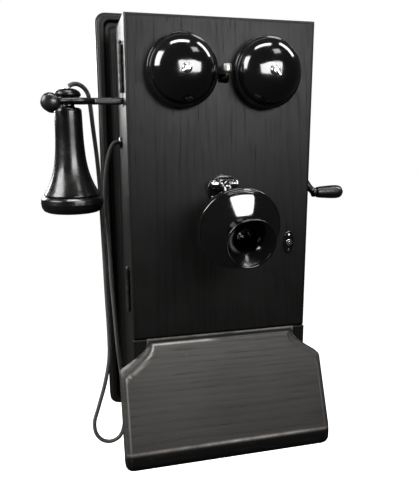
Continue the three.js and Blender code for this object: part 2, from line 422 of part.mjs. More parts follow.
// ---------------------------------------------------------------------- cord
{
  const b = BUSHING;
  add(caseGroup, "cord_bushing", cut(union(rod("x", 4.6, -111, -96, b.y, b.z, 20), placed(lathe([[0, 0], [7.5, 0], [7.5, 1.2], [6, 2.8], [4.4, 3.4], [0, 3.4]], 24).rotateY(-Math.PI / 2), new THREE.Matrix4().makeTranslation(-110.3, b.y, b.z))), rod("x", 3, -103, -94, b.y, b.z, 16)), M.hardRubber());
  // one limp cord from the receiver's tail to the bushing, hanging in a long loop
  const route = [
    [-169.4, -110.4, 173.6], [-164.7, -107.3, 175.8], [-159.6, -104, 175.9], [-154.9, -101, 173.7], [-151, -98.4, 169.7], [-148.5, -96.9, 164.3], [-147.3, -96.1, 157], [-146.2, -95.7, 146], [-144.6, -95, 126],
    [-141.4, -94, 90], [-139.2, -93, 43], [-138, -92.5, -20], [-137, -92, -85], [-136, -92, -138], [-137, -92, -166], [-143.5, -92, -200], [-153.5, -92, -234], [-159.4, -92, -255],
    [-157.6, -92, -271], [-150, -92, -281.6], [-139, -91.4, -285.4], [-128, -90, -281.6], [-121.6, -88.4, -270], [-119.6, -87, -246], [-121, -84.5, -202], [-124.5, -82, -159], [-127.4, -80, -104],
    [-129.4, -79, -64], [-130, -78, -24], [-131.6, -77.5, 14], [-132.8, -77, 40], [-131.6, -77, 66], [-128, -77, 88], [-123.4, -77, 103.5], [-118.6, -77, 109.4], [-114.5, -77, 110],
  ];
  add(receiver, "receiver_cord", tube(route, CORD_R, 76, 8), M.cord());
}

export default phone;
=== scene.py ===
import math

import bmesh
import bpy
from mathutils import Matrix, Vector

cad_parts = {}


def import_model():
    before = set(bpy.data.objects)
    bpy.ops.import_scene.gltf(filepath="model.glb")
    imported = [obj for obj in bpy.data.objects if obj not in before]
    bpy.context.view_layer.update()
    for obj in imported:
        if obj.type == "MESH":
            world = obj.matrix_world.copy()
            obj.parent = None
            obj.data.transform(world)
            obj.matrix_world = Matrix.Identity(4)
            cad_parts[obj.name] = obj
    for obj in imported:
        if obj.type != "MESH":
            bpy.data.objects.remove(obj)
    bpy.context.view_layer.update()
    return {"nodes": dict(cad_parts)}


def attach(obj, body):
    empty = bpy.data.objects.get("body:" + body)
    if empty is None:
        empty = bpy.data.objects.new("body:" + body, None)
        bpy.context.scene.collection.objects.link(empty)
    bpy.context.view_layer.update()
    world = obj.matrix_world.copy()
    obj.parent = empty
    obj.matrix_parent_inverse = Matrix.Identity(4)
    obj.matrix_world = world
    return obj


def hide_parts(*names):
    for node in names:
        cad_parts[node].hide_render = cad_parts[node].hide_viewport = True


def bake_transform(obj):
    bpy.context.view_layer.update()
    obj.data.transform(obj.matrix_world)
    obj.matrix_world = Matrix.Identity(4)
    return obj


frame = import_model()
nodes = frame["nodes"]
scene = bpy.context.scene
MM = 0.001
PI = math.pi

# ------------------------------------------------------------------ dimensions, mm
BOARD = dict(w=134.0, h=272.0, t=22.0, r=13.0)
BOX = dict(w=110.0, top=248.0, bottom=-248.0, wall=13.0, front=-125.0, back=-22.3)
DOOR = dict(front=-147.0, back=-125.3, bottom=-122.3)
GONG = dict(x=49.0, z=188.5, rim=-156.0, r=40.0, h=26.0)
TILT = (-158.0, 64.0)
FACE = (0.0, -217.8, 20.7)
DOWN = math.radians(11)
SHAFT = (-72.0, 83.0)
PINION_Z = 37.65
HANDLE = (-77.0, 41.0)
HOOK = dict(px=-80.0, z=157.0, y=-112.0)
REC = (-172.0, -112.0)
BUSH = (-77.0, 110.0)
HINGE = dict(x=-112.6, y=-125.15, r=2.4, z=(192.0, -66.0), half=26.0)
LOCK = (84.5, -11.0)

# ------------------------------------------------------------------ camera
cam_data = bpy.data.cameras.new("camera")
cam = bpy.data.objects.new("camera", cam_data)
scene.collection.objects.link(cam)
cam_data.sensor_width = 36.0
cam_data.lens = 39.64
cam_data.clip_start, cam_data.clip_end = 0.05, 60
forward = Vector((0.2373, 0.9496, -0.2047)).normalized()
cam.location = (-0.16587, -0.74615, 0.1256)
cam.rotation_mode = "QUATERNION"
cam.rotation_quaternion = forward.to_track_quat("-Z", "Y")
scene.camera = cam


# ------------------------------------------------------------------ mesh helpers
def obj(name, parts, mat, body, replaced=(), angle=38, weighted=False, scale=MM):
    """One object from (vertices, faces) parts in mm."""
    verts, faces = [], []
    for v, f in parts:
        n = len(verts)
        verts.extend(v)
        faces.extend([tuple(i + n for i in face) for face in f])
    me = bpy.data.meshes.new(name)
    me.from_pydata([(x * scale, y * scale, z * scale) for x, y, z in verts], [], faces)
    tidy(me, angle)
    ob = bpy.data.objects.new(name, me)
    scene.collection.objects.link(ob)
    me.materials.append(mat)
    if weighted:
        m = ob.modifiers.new("even shading", "WEIGHTED_NORMAL")
        m.keep_sharp = True
        m.weight = 100
    place(ob, body, replaced)
    return ob


def tidy(me, angle):
    bm = bmesh.new()
    bm.from_mesh(me)
    bmesh.ops.remove_doubles(bm, verts=bm.verts, dist=1e-7)
    bmesh.ops.recalc_face_normals(bm, faces=bm.faces)
    for f in bm.faces:
        f.smooth = True
    for e in bm.edges:
        e.smooth = not (len(e.link_faces) == 2 and e.calc_face_angle(0) > math.radians(angle))
    bm.to_mesh(me)
    bm.free()


def place(ob, body, replaced):
    if body:
        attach(ob, body)
    if replaced:
        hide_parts(*([replaced] if isinstance(replaced, str) else replaced))


def bake_modifiers(ob, angle=38):
    dg = bpy.context.evaluated_depsgraph_get()
    new = bpy.data.meshes.new_from_object(ob.evaluated_get(dg))
    ob.modifiers.clear()
    old = ob.data
    ob.data = new
    bpy.data.meshes.remove(old)
    tidy(ob.data, angle)
    return ob


def cutter(parts):
    return obj("cutter", parts, plain, None)


def carve(ob, *cutters, op="DIFFERENCE", angle=38):
    for c in cutters:
        m = ob.modifiers.new("carve", "BOOLEAN")
        m.operation, m.object, m.solver = op, c, "EXACT"
    bake_modifiers(ob, angle)
    for c in cutters:
        bpy.data.objects.remove(c)
    return ob


def even(ob):
    m = ob.modifiers.new("even shading", "WEIGHTED_NORMAL")
    m.keep_sharp = True
    m.weight = 100
    return ob


def fillet(profile, r=0.6, n=3, closed=False):
    """Rounds the corners of a polyline. A point may carry its own radius as a third number."""
    out, m = [], len(profile)
    for i, p in enumerate(profile):
        rr = p[2] if len(p) > 2 else r
        a, b = profile[i - 1], profile[(i + 1) % m]
        if (not closed and i in (0, m - 1)) or rr <= 0:
            out.append((p[0], p[1]))
            continue
        va, vb = (a[0] - p[0], a[1] - p[1]), (b[0] - p[0], b[1] - p[1])
        la, lb = math.hypot(*va), math.hypot(*vb)
        if la < 1e-6 or lb < 1e-6:
            continue
        cosang = max(-1, min(1, (va[0] * vb[0] + va[1] * vb[1]) / (la * lb)))
        half = math.acos(cosang) / 2
        t = min(rr / max(math.tan(half), 1e-3), 0.45 * la, 0.45 * lb)
        s, e = (p[0] + va[0] / la * t, p[1] + va[1] / la * t), (p[0] + vb[0] / lb * t, p[1] + vb[1] / lb * t)
        for k in range(n + 1):
            u = k / n
            out.append(tuple((1 - u) ** 2 * s[j] + 2 * u * (1 - u) * p[j] + u * u * e[j] for j in (0, 1)))
    return out


def spline2(points, per=6):
    """Smooth curve through 2-D points."""
    out, n = [], len(points)
    for i in range(n - 1):
        p0, p1, p2, p3 = points[max(i - 1, 0)], points[i], points[i + 1], points[min(i + 2, n - 1)]
        for k in range(per):
            t = k / per
            out.append(tuple(0.5 * ((2 * p1[j]) + (-p0[j] + p2[j]) * t + (2 * p0[j] - 5 * p1[j] + 4 * p2[j] - p3[j]) * t * t
                                    + (-p0[j] + 3 * p1[j] - 3 * p2[j] + p3[j]) * t ** 3) for j in range(len(p1))))
    out.append(tuple(points[-1]))
    return out


def lathe(profile, matrix=None, seg=96):
    """Solid of revolution about Z of (radius, height). Ends on the axis, or else the profile is closed on itself."""
    closed = not (profile[0][0] < 1e-6 and profile[-1][0] < 1e-6)
    verts, rings = [], []
    for r, h in profile:
        if r < 1e-6:
            rings.append([len(verts)])
            verts.append((0.0, 0.0, h))
        else:
            rings.append(list(range(len(verts), len(verts) + seg)))
            verts.extend([(r * math.cos(2 * PI * k / seg), r * math.sin(2 * PI * k / seg), h) for k in range(seg)])
    faces = []
    pairs = list(zip(rings, rings[1:])) + ([(rings[-1], rings[0])] if closed else [])
    for a, b in pairs:
        for k in range(seg):
            k2 = (k + 1) % seg
            if len(a) == 1 and len(b) == 1:
                continue
            if len(a) == 1:
                faces.append((a[0], b[k], b[k2]))
            elif len(b) == 1:
                faces.append((a[k], a[k2], b[0]))
            else:
                faces.append((a[k], a[k2], b[k2], b[k]))
    return move((verts, faces), matrix)


def move(part, matrix):
    if matrix is None:
        return part
    return [tuple(matrix @ Vector(v)) for v in part[0]], part[1]


def facing(x, y, z):
    return Matrix.Translation((x, y, z)) @ Matrix.Rotation(PI / 2, 4, "X")


ON_FACE = Matrix.Translation(FACE) @ Matrix.Rotation(PI / 2 + DOWN, 4, "X")


def along_x(x, y, z):
    return Matrix.Translation((x, y, z)) @ Matrix.Rotation(PI / 2, 4, "Y")


def at(x, y, z):
    return Matrix.Translation((x, y, z))


def lift(bm):
    bm.verts.index_update()
    return [tuple(v.co) for v in bm.verts], [tuple(v.index for v in f.verts) for f in bm.faces]


def soften(bm, width, seg=3, angle=30):
    if width > 0:
        edges = [e for e in bm.edges if len(e.link_faces) == 2 and e.calc_face_angle(0) > math.radians(angle)]
        bmesh.ops.bevel(bm, geom=edges, offset=width, segments=seg, profile=0.5, affect="EDGES", clamp_overlap=True)


def block(x0, x1, y0, y1, z0, z1, bevel=0.6, seg=3):
    bm = bmesh.new()
    bmesh.ops.create_cube(bm, size=1)
    for v in bm.verts:
        v.co = Vector(((x0 + x1) / 2 + v.co.x * (x1 - x0), (y0 + y1) / 2 + v.co.y * (y1 - y0), (z0 + z1) / 2 + v.co.z * (z1 - z0)))
    soften(bm, bevel, seg)
    part = lift(bm)
    bm.free()
    return part


def prism(poly, a0, a1, plane="xz", bevel=0.5, seg=3, angle=30):
    """Outline extruded: plane xz runs along Y, xy along Z, yz along X."""
    bm = bmesh.new()
    put = {"xz": lambda u, v, w: (u, w, v), "xy": lambda u, v, w: (u, v, w), "yz": lambda u, v, w: (w, u, v)}[plane]
    low = [bm.verts.new(put(u, v, a0)) for u, v in poly]
    high = [bm.verts.new(put(u, v, a1)) for u, v in poly]
    n = len(poly)
    bm.faces.new(low)
    bm.faces.new(list(reversed(high)))
    for i in range(n):
        bm.faces.new((low[i], high[i], high[(i + 1) % n], low[(i + 1) % n]))
    bmesh.ops.recalc_face_normals(bm, faces=bm.faces)
    soften(bm, bevel, seg, angle)
    part = lift(bm)
    bm.free()
    return part


def rod(axis, r, a0, a1, p, q, bevel=0.4, seg=40):
    prof = fillet([(0, a0), (r, a0), (r, a1), (0, a1)], bevel, 3)
    m = {"z": at(p, q, 0), "y": Matrix.Translation((p, 0, q)) @ Matrix.Rotation(-PI / 2, 4, "X"),
         "x": Matrix.Translation((0, p, q)) @ Matrix.Rotation(PI / 2, 4, "Y")}[axis]
    return lathe(prof, m, seg)


def ball(r, x, y, z, sx=1.0, sy=1.0, sz=1.0, seg=40):
    prof = [(r * math.sin(PI * k / 24), -r * math.cos(PI * k / 24)) for k in range(25)]
    prof[0], prof[-1] = (0, -r), (0, r)
    return lathe(prof, Matrix.Translation((x, y, z)) @ Matrix.Diagonal((sx, sy, sz, 1)), seg)


def frames(points):
    """Tangent and two normals at each point, without twist."""
    pts = [Vector(p) for p in points]
    tan = [(pts[min(i + 1, len(pts) - 1)] - pts[max(i - 1, 0)]).normalized() for i in range(len(pts))]
    n = tan[0].orthogonal().normalized()
    out = []
    for t in tan:
        n = (n - t * n.dot(t)).normalized()
        out.append((t, n.copy(), t.cross(n)))
    return pts, out


def sweep(points, radius, seg=16, ends=True):
    """Round bar along points. radius is a number or a list, one for each point; the ends are closed flat."""
    pts, fr = frames(points)
    rad = [radius] * len(pts) if isinstance(radius, (int, float)) else list(radius)
    rings = []
    for p, (t, n, b), r in zip(pts, fr, rad):
        rings.append([p + n * (r * math.cos(2 * PI * k / seg)) + b * (r * math.sin(2 * PI * k / seg)) for k in range(seg)])
    verts = [tuple(v) for ring in rings for v in ring]
    faces = []
    for i in range(len(rings) - 1):
        for k in range(seg):
            a, b2 = i * seg + k, i * seg + (k + 1) % seg
            faces.append((a, b2, b2 + seg, a + seg))
    if ends:
        faces.append(tuple(reversed(range(seg))))
        faces.append(tuple((len(rings) - 1) * seg + k for k in range(seg)))
    return verts, faces


def smooth_path(points, per=6):
    return spline2([tuple(p) for p in points], per)


def cast(ob, voxel=0.7, passes=6, factor=0.6):
    """Runs separate overlapping forms together as one casting with soft inside corners."""
    m = ob.modifiers.new("one body", "REMESH")
    m.mode, m.voxel_size, m.use_smooth_shade = "VOXEL", voxel * MM, True
    s = ob.modifiers.new("soft corners", "SMOOTH")
    s.factor, s.iterations = factor, passes
    return bake_modifiers(ob, 80)


# ------------------------------------------------------------------ material helpers
class Tree:
    def __init__(self, name):
        self.m = bpy.data.materials.new(name)
        self.m.use_nodes = True
        self.t = self.m.node_tree
        self.t.nodes.clear()
        self.out = self.t.nodes.new("ShaderNodeOutputMaterial")
        self.b = self.t.nodes.new("ShaderNodeBsdfPrincipled")
        self.t.links.new(self.b.outputs[0], self.out.inputs[0])

    def put(self, kind, **values):
        node = self.t.nodes.new(kind)
        for k, v in values.items():
            setattr(node, k, v)
        return node

    def wire(self, a, b):
        if isinstance(a, (int, float)):
            b.default_value = a
        elif isinstance(a, (tuple, list)):
            b.default_value = tuple(a) if len(a) == len(b.default_value) else (*a, 1.0)
        else:
            self.t.links.new(a, b)

    def place(self, scale=(1, 1, 1), loc=(0, 0, 0), rot=(0, 0, 0)):
        co = self.put("ShaderNodeTexCoord")
        mp = self.put("ShaderNodeMapping")
        self.wire(co.outputs["Object"], mp.inputs["Vector"])
        mp.inputs["Scale"].default_value, mp.inputs["Location"].default_value, mp.inputs["Rotation"].default_value = scale, loc, rot
        return mp.outputs[0]

    def noise(self, vec, scale, detail=3.0, rough=0.5, dist=0.0):
        n = self.put("ShaderNodeTexNoise")
        self.wire(vec, n.inputs["Vector"])
        n.inputs["Scale"].default_value, n.inputs["Detail"].default_value = scale, detail
        n.inputs["Roughness"].default_value, n.inputs["Distortion"].default_value = rough, dist
        return n.outputs[0]

    def cells(self, vec, scale, feature="F1"):
        n = self.put("ShaderNodeTexVoronoi")
        n.feature = feature
        self.wire(vec, n.inputs["Vector"])
        n.inputs["Scale"].default_value = scale
        return n.outputs["Distance"]

    def ramp(self, fac, *stops):
        n = self.put("ShaderNodeValToRGB")
        self.wire(fac, n.inputs[0])
        el = n.color_ramp.elements
        while len(el) < len(stops):
            el.new(0.5)
        for e, (p, c) in zip(el, stops):
            e.position = p
            e.color = (c, c, c, 1) if isinstance(c, (int, float)) else (*c, 1)
        return n.outputs[0]

    def math(self, op, a, b=0.0, clamp=False):
        n = self.put("ShaderNodeMath", operation=op, use_clamp=clamp)
        self.wire(a, n.inputs[0])
        self.wire(b, n.inputs[1])
        return n.outputs[0]

    def mix(self, fac, a, b, blend="MIX"):
        n = self.put("ShaderNodeMix", data_type="RGBA", blend_type=blend)
        self.wire(fac, n.inputs[0])
        self.wire(a, n.inputs[6])
        self.wire(b, n.inputs[7])
        return n.outputs[2]

    def bump(self, height, strength=0.3, distance=0.0005, normal=None):
        n = self.put("ShaderNodeBump")
        self.wire(height, n.inputs["Height"])
        n.inputs["Strength"].default_value, n.inputs["Distance"].default_value = strength, distance
        if normal is not None:
            self.wire(normal, n.inputs["Normal"])
        return n.outputs[0]

    def worn(self, radius=0.0016, gain=3.0, break_scale=140.0):
        """1 on the outside edges, broken up by noise."""
        bev = self.put("ShaderNodeBevel", samples=4)
        bev.inputs["Radius"].default_value = radius
        geo = self.put("ShaderNodeNewGeometry")
        dot = self.put("ShaderNodeVectorMath", operation="DOT_PRODUCT")
        self.wire(bev.outputs[0], dot.inputs[0])
        self.wire(geo.outputs["Normal"], dot.inputs[1])
        edge = self.math("MULTIPLY", self.math("SUBTRACT", 1.0, dot.outputs["Value"]), gain, True)
        broken = self.ramp(self.noise(self.place(), break_scale, 4, 0.65), (0.34, 0.0), (0.62, 1.0))
        return self.math("MULTIPLY", edge, broken)

    def set(self, **values):
        names = {"color": "Base Color", "rough": "Roughness", "metal": "Metallic", "normal": "Normal", "coat": "Coat Weight",
                 "coat_rough": "Coat Roughness", "spec": "Specular IOR Level", "sheen": "Sheen Weight", "ior": "IOR", "aniso": "Anisotropic",
                 "emit": "Emission Strength", "emit_color": "Emission Color"}
        for k, v in values.items():
            self.wire(v, self.b.inputs[names[k]])
        return self.m


def wood(name, grain="z", dark=(0.0022, 0.00205, 0.0019), light=(0.0090, 0.0083, 0.0077), edge=(0.06, 0.0555, 0.051), seed=0.0, rough=0.46,
         worn=0.55, pores=1.0, pith=(0.35, 0.22), low=None, rub_and_highlight_band=False):
    """Dark-stained oak: growth rings, fibre, open pores, worn edges. low= darkens everything below that height as
    painted shade; an optional band from the 'rub' attribute adds pale lines that are painted highlight, partly wear.
    """
    t = Tree(name)
    s = {"z": (1, 1, 0.05), "x": (0.05, 1, 1), "y": (1, 0.05, 1)}[grain]
    loc = (seed * 0.37 + 0.11, seed * 0.19 - 0.4, seed * 0.53 + 0.2)
    base = t.place(s, loc)
    # ring pattern: distance from a pith line well behind the board, waved by slow noise
    sep = t.put("ShaderNodeSeparateXYZ")
    t.wire(t.place((1, 1, 1), (0, 0, 0)), sep.inputs[0])
    across = sep.outputs[0] if grain == "z" else sep.outputs[2]
    slow = t.noise(t.place({"z": (1, 1, 0.16), "x": (0.16, 1, 1), "y": (1, 0.16, 1)}[grain], loc), 7.0, 2, 0.5)
    a = t.math("ADD", t.math("MULTIPLY", t.math("ADD", across, pith[0] * 0.2 - 0.03 + seed * 0.02), 1.0), t.math("MULTIPLY", slow, 0.12))
    d = t.math("SQRT", t.math("ADD", t.math("POWER", a, 2.0), pith[1] * 0.02))
    ringv = t.math("FRACT", t.math("MULTIPLY", d, 150.0))
    ring = t.ramp(ringv, (0.0, 0.15), (0.55, 0.75), (0.9, 1.0), (1.0, 0.15))
    streak = t.noise(base, 95.0, 7, 0.62, 0.25)
    fibre = t.noise(base, 620.0, 3, 0.6)
    pore_field = t.noise(t.place({"z": (1, 1, 0.022), "x": (0.022, 1, 1), "y": (1, 0.022, 1)}[grain], (loc[1], loc[2], loc[0])), 1250.0, 2, 0.5)
    pore = t.ramp(pore_field, (0.30, 1.0), (0.42, 0.0))
    early = t.ramp(ring, (0.15, 1.0), (0.65, 0.25))
    pore = t.math("MULTIPLY", pore, t.math("MULTIPLY", early, pores))
    patch = t.noise(t.place((1, 1, 1), loc), 6.5, 3, 0.55)
    mixv = t.math("ADD", t.math("MULTIPLY", streak, 0.62), t.math("ADD", t.math("MULTIPLY", ring, 0.2), t.math("MULTIPLY", fibre, 0.22)))
    tone = t.ramp(mixv, (0.36, dark), (0.74, light))
    tone = t.mix(t.ramp(patch, (0.38, 0.0), (0.72, 0.34)), tone, tuple(c * 1.5 for c in light))
    tone = t.mix(t.math("MULTIPLY", pore, 0.8), tone, tuple(c * 0.32 for c in dark))
    if low is not None:
        # painted shade: below the height low (the shelf's upright nose) the colour is darkened, standing in for the
        # light falling off at the bottom
        step = t.math("MULTIPLY", t.math("ADD", t.math("MULTIPLY", sep.outputs[2], -1.0), low + 0.0005), 700.0, True)
        tone = t.mix(step, tone, tuple(c * 0.45 for c in dark))
    rub = t.worn(0.0022, 3.2, 120)
    fine = t.ramp(t.noise(base, 210.0, 4, 0.6), (0.3, 0.4), (0.7, 1.0))
    rub = t.math("MULTIPLY", t.math("MULTIPLY", rub, fine), worn, True)
    # painted highlight, partly wear: pale lines along the shelf's arris, top edge and shoulders from the 'rub'
    # attribute
    if rub_and_highlight_band:
        band = t.put("ShaderNodeAttribute", attribute_name="rub").outputs["Fac"]
        broken = t.ramp(t.noise(t.place((1, 1, 1), (2, 3, 1)), 30.0, 5, 0.7), (0.34, 0.35), (0.62, 1.0))
        rub = t.math("MAXIMUM", rub, t.math("MULTIPLY", band, broken))
    tone = t.mix(rub, tone, edge)
    # a few fine handling scratches, slightly paler
    scr = t.noise(t.place((1, 1, 1), (3.1 + seed, 0.7, 1.9), (0.4, 0.2, 0.9)), 26.0, 2, 0.5, 2.2)
    scr = t.ramp(scr, (0.494, 0.0), (0.5, 1.0), (0.506, 0.0))
    gate = t.ramp(t.noise(t.place((1, 1, 1), (7 + seed, 2, 5)), 11.0, 2), (0.6, 0.0), (0.68, 0.6))
    tone = t.mix(t.math("MULTIPLY", scr, gate), tone, tuple(c * 2.2 for c in light))
    rg = t.math("ADD", rough - 0.1, t.math("MULTIPLY", t.noise(t.place((1, 1, 1), loc), 34.0, 5, 0.6), 0.2))
    rg = t.math("ADD", rg, t.math("MULTIPLY", pore, 0.25), True)
    height = t.math("SUBTRACT", t.math("ADD", t.math("MULTIPLY", fibre, 0.25), t.math("MULTIPLY", streak, 0.35)), t.math("MULTIPLY", pore, 0.9))
    n = t.bump(height, 0.55, 0.00035)
    return t.set(color=tone, rough=rg, normal=n, spec=0.24)


def bare_wood(name, grain="x", tint=(0.19, 0.13, 0.08), seed=0.0):
    return wood(name, grain, tuple(c * 0.6 for c in tint), tint, tuple(c * 1.3 for c in tint), seed, 0.68, 0.3, 0.6)


def gloss_black(name, base=(0.006, 0.006, 0.0065), rough=0.09, edge_tone=(0.16, 0.15, 0.13), worn=0.5, peel=0.05, coat=0.0, radius=0.0009, metal=0.0, spec=0.5):
    """Stoved black lacquer over metal: faint orange peel, dust-fine scratches, lacquer thinned on the edges to a paler
    tone; on japan_black that pale edge is also a painted highlight along the rims.
    """
    t = Tree(name)
    p = t.place()
    film = t.noise(p, 240.0, 2, 0.5)
    smear = t.noise(p, 30.0, 4, 0.6, 0.4)
    scr = t.noise(t.place((1, 1, 1), (1.3, 0.2, 4.4), (0.3, 0.8, 0.2)), 42.0, 2, 0.5, 2.8)
    scr = t.ramp(scr, (0.495, 0.0), (0.5, 1.0), (0.505, 0.0))
    speck = t.ramp(t.noise(p, 900.0, 2, 0.5), (0.66, 0.0), (0.74, 1.0))
    tone = t.mix(t.math("MULTIPLY", scr, 0.35), base, tuple(c * 3.5 for c in base))
    tone = t.mix(t.math("MULTIPLY", speck, 0.25), tone, (0.03, 0.03, 0.03))
    rub = t.math("MULTIPLY", t.worn(radius, 3.0, 260), worn, True)
    tone = t.mix(rub, tone, edge_tone)
    rg = t.math("ADD", t.ramp(smear, (0.35, rough * 0.8), (0.75, rough * 1.7)), t.math("MULTIPLY", scr, 0.12))
    rg = t.math("ADD", rg, t.math("MULTIPLY", rub, 0.25), True)
    n = t.bump(film, peel, 0.0004)
    mt = t.math("ADD", t.math("MULTIPLY", rub, 0.6), metal, True) if worn > 0 else metal
    return t.set(color=tone, rough=rg, metal=mt, normal=n, spec=spec, coat=coat, coat_rough=0.04)


def ebonite(name, base=(0.0042, 0.0041, 0.004), rough=0.2, axis="z", turn=0.04):
    """Polished hard rubber: turning marks round it, brownish where it has aged."""
    t = Tree(name)
    p = t.place()
    aged = t.ramp(t.noise(p, 22.0, 4, 0.6), (0.4, 0.0), (0.8, 1.0))
    tone = t.mix(t.math("MULTIPLY", aged, 0.5), base, (base[0] * 2.3, base[1] * 2.05, base[2] * 1.8))
    marks = t.noise(t.place({"z": (0.02, 0.02, 1), "x": (1, 0.02, 0.02), "y": (0.02, 1, 0.02)}[axis]), 1500.0, 2, 0.6)
    dust = t.noise(p, 700.0, 2)
    rub = t.math("MULTIPLY", t.worn(0.0008, 3.0, 220), 0.35, True)
    tone = t.mix(rub, tone, (0.04, 0.037, 0.034))
    rg = t.math("ADD", t.ramp(t.noise(p, 48.0, 5, 0.65), (0.3, rough * 0.75), (0.75, rough * 1.7)), t.math("MULTIPLY", rub, 0.2), True)
    n = t.bump(t.math("ADD", t.math("MULTIPLY", marks, 0.5), t.math("MULTIPLY", dust, 0.2)), turn, 0.0003)
    return t.set(color=tone, rough=rg, normal=n, spec=0.5)


def metal(name, base, rough=0.2, tarnish=(0.2, 0.17, 0.13), amount=0.5, brushed=None, bump=0.05):
    t = Tree(name)
    p = t.place()
    spots = t.ramp(t.noise(p, 120.0, 6, 0.68), (0.5, 0.0), (0.72, 1.0))
    wide = t.ramp(t.noise(p, 24.0, 3, 0.5), (0.4, 0.0), (0.75, 1.0))
    dirt = t.math("MULTIPLY", t.math("ADD", t.math("MULTIPLY", spots, 0.6), t.math("MULTIPLY", wide, 0.5)), amount, True)
    tone = t.mix(dirt, base, tarnish)
    rub = t.math("MULTIPLY", t.worn(0.0006, 3.0, 300), 0.5, True)
    tone = t.mix(rub, tone, tuple(min(1, c * 1.35) for c in base))
    rg = t.math("ADD", t.math("MULTIPLY", dirt, 0.3), rough, True)
    if brushed:
        grain = t.noise(t.place({"x": (0.03, 1, 1), "y": (1, 0.03, 1), "z": (1, 1, 0.03)}[brushed]), 1600.0, 2, 0.6)
    else:
        grain = t.noise(p, 800.0, 3, 0.6)
    n = t.bump(grain, bump, 0.0003)
    return t.set(color=tone, rough=rg, metal=1.0, normal=n)


def winding(name, base, axis="y", pitch=0.55):
    """Silk-covered wire laid turn beside turn."""
    t = Tree(name)
    sep = t.put("ShaderNodeSeparateXYZ")
    t.wire(t.place(), sep.inputs[0])
    u = sep.outputs[{"x": 0, "y": 1, "z": 2}[axis]]
    wave = t.math("ABSOLUTE", t.math("SINE", t.math("MULTIPLY", u, PI / (pitch * MM))))
    silk = t.noise(t.place(), 1400.0, 2)
    # painted shade: the grooves between turns are darkened to a quarter of the silk colour
    tone = t.mix(t.ramp(wave, (0.0, 0.0), (0.6, 1.0)), tuple(c * 0.25 for c in base), base)
    tone = t.mix(t.math("MULTIPLY", silk, 0.5), tone, tuple(c * 1.7 for c in base))
    return t.set(color=tone, rough=0.62, normal=t.bump(wave, 0.9, 0.0003), sheen=0.2)


def braid(name):
    """Braided cotton over the cord: two sets of strands crossing, fuzz and grime."""
    t = Tree(name)
    al = t.put("ShaderNodeAttribute", attribute_name="along").outputs["Fac"]
    ar = t.put("ShaderNodeAttribute", attribute_name="around").outputs["Fac"]
    k = 2 * PI / 0.0042
    p1 = t.math("SINE", t.math("ADD", t.math("MULTIPLY", al, k), t.math("MULTIPLY", ar, 8.0)))
    p2 = t.math("SINE", t.math("SUBTRACT", t.math("MULTIPLY", al, k), t.math("MULTIPLY", ar, 8.0)))
    weave = t.math("MAXIMUM", p1, p2)
    p = t.place()
    fuzz = t.noise(p, 2600.0, 3, 0.6)
    grime = t.noise(p, 14.0, 4, 0.6)
    # painted shade: the gaps between the crossing strands are darkened, the raised strands kept light
    tone = t.ramp(weave, (0.0, (0.010, 0.0095, 0.009)), (0.8, (0.062, 0.058, 0.053)))
    tone = t.mix(t.math("MULTIPLY", fuzz, 0.5), tone, (0.13, 0.122, 0.112))
    tone = t.mix(t.ramp(grime, (0.4, 0.0), (0.75, 0.6)), tone, (0.02, 0.019, 0.018))
    h = t.math("ADD", t.math("MULTIPLY", weave, 0.6), t.math("MULTIPLY", fuzz, 0.4))
    return t.set(color=tone, rough=0.88, normal=t.bump(h, 0.7, 0.0003), sheen=0.35)


def jacket(name):
    """Waxed card round a dry cell, with plain printed bands."""
    t = Tree(name)
    sep = t.put("ShaderNodeSeparateXYZ")
    t.wire(t.place(), sep.inputs[0])
    z = sep.outputs[2]
    mott = t.noise(t.place(), 60.0, 6, 0.65)
    fib = t.noise(t.place((1, 1, 6)), 420.0, 3)
    tone = t.mix(mott, (0.2, 0.14, 0.075), (0.34, 0.26, 0.14))
    band = t.math("MULTIPLY", t.math("GREATER_THAN", z, -0.128), t.math("LESS_THAN", z, -0.112))
    band2 = t.math("MULTIPLY", t.math("GREATER_THAN", z, -0.222), t.math("LESS_THAN", z, -0.214))
    wear = t.ramp(t.noise(t.place(), 180.0, 5, 0.7), (0.35, 0.4), (0.6, 0.95))
    tone = t.mix(t.math("MULTIPLY", t.math("ADD", band, band2, True), wear), tone, (0.12, 0.02, 0.016))
    tone = t.mix(t.math("MULTIPLY", fib, 0.3), tone, (0.42, 0.34, 0.2))
    return t.set(color=tone, rough=0.6, normal=t.bump(t.math("ADD", mott, fib), 0.25, 0.0004))


def cast_iron(name, base=(0.05, 0.05, 0.052), rough=0.5):
    t = Tree(name)
    p = t.place()
    grit = t.noise(p, 420.0, 5, 0.7)
    rust = t.ramp(t.noise(p, 70.0, 6, 0.7), (0.56, 0.0), (0.72, 1.0))
    tone = t.mix(t.math("MULTIPLY", rust, 0.45), base, (0.09, 0.045, 0.025))
    tone = t.mix(t.math("MULTIPLY", t.worn(0.0007, 3, 240), 0.6, True), tone, (0.3, 0.29, 0.28))
    rg = t.math("ADD", t.math("MULTIPLY", grit, 0.2), rough - 0.1, True)
    return t.set(color=tone, rough=rg, metal=0.7, normal=t.bump(grit, 0.3, 0.0003))


plain = bpy.data.materials.new("plain")
W_DOOR = wood("oak_door", "z", seed=1.0)
W_BOARD = wood("oak_backboard", "z", seed=4.2, pith=(0.9, 0.12))
W_LEFT = wood("oak_left", "z", seed=2.3)
W_RIGHT = wood("oak_right", "z", seed=6.1)
W_TOP = wood("oak_top", "x", seed=3.3)
W_PANEL = wood("oak_panel", "z", seed=5.7)
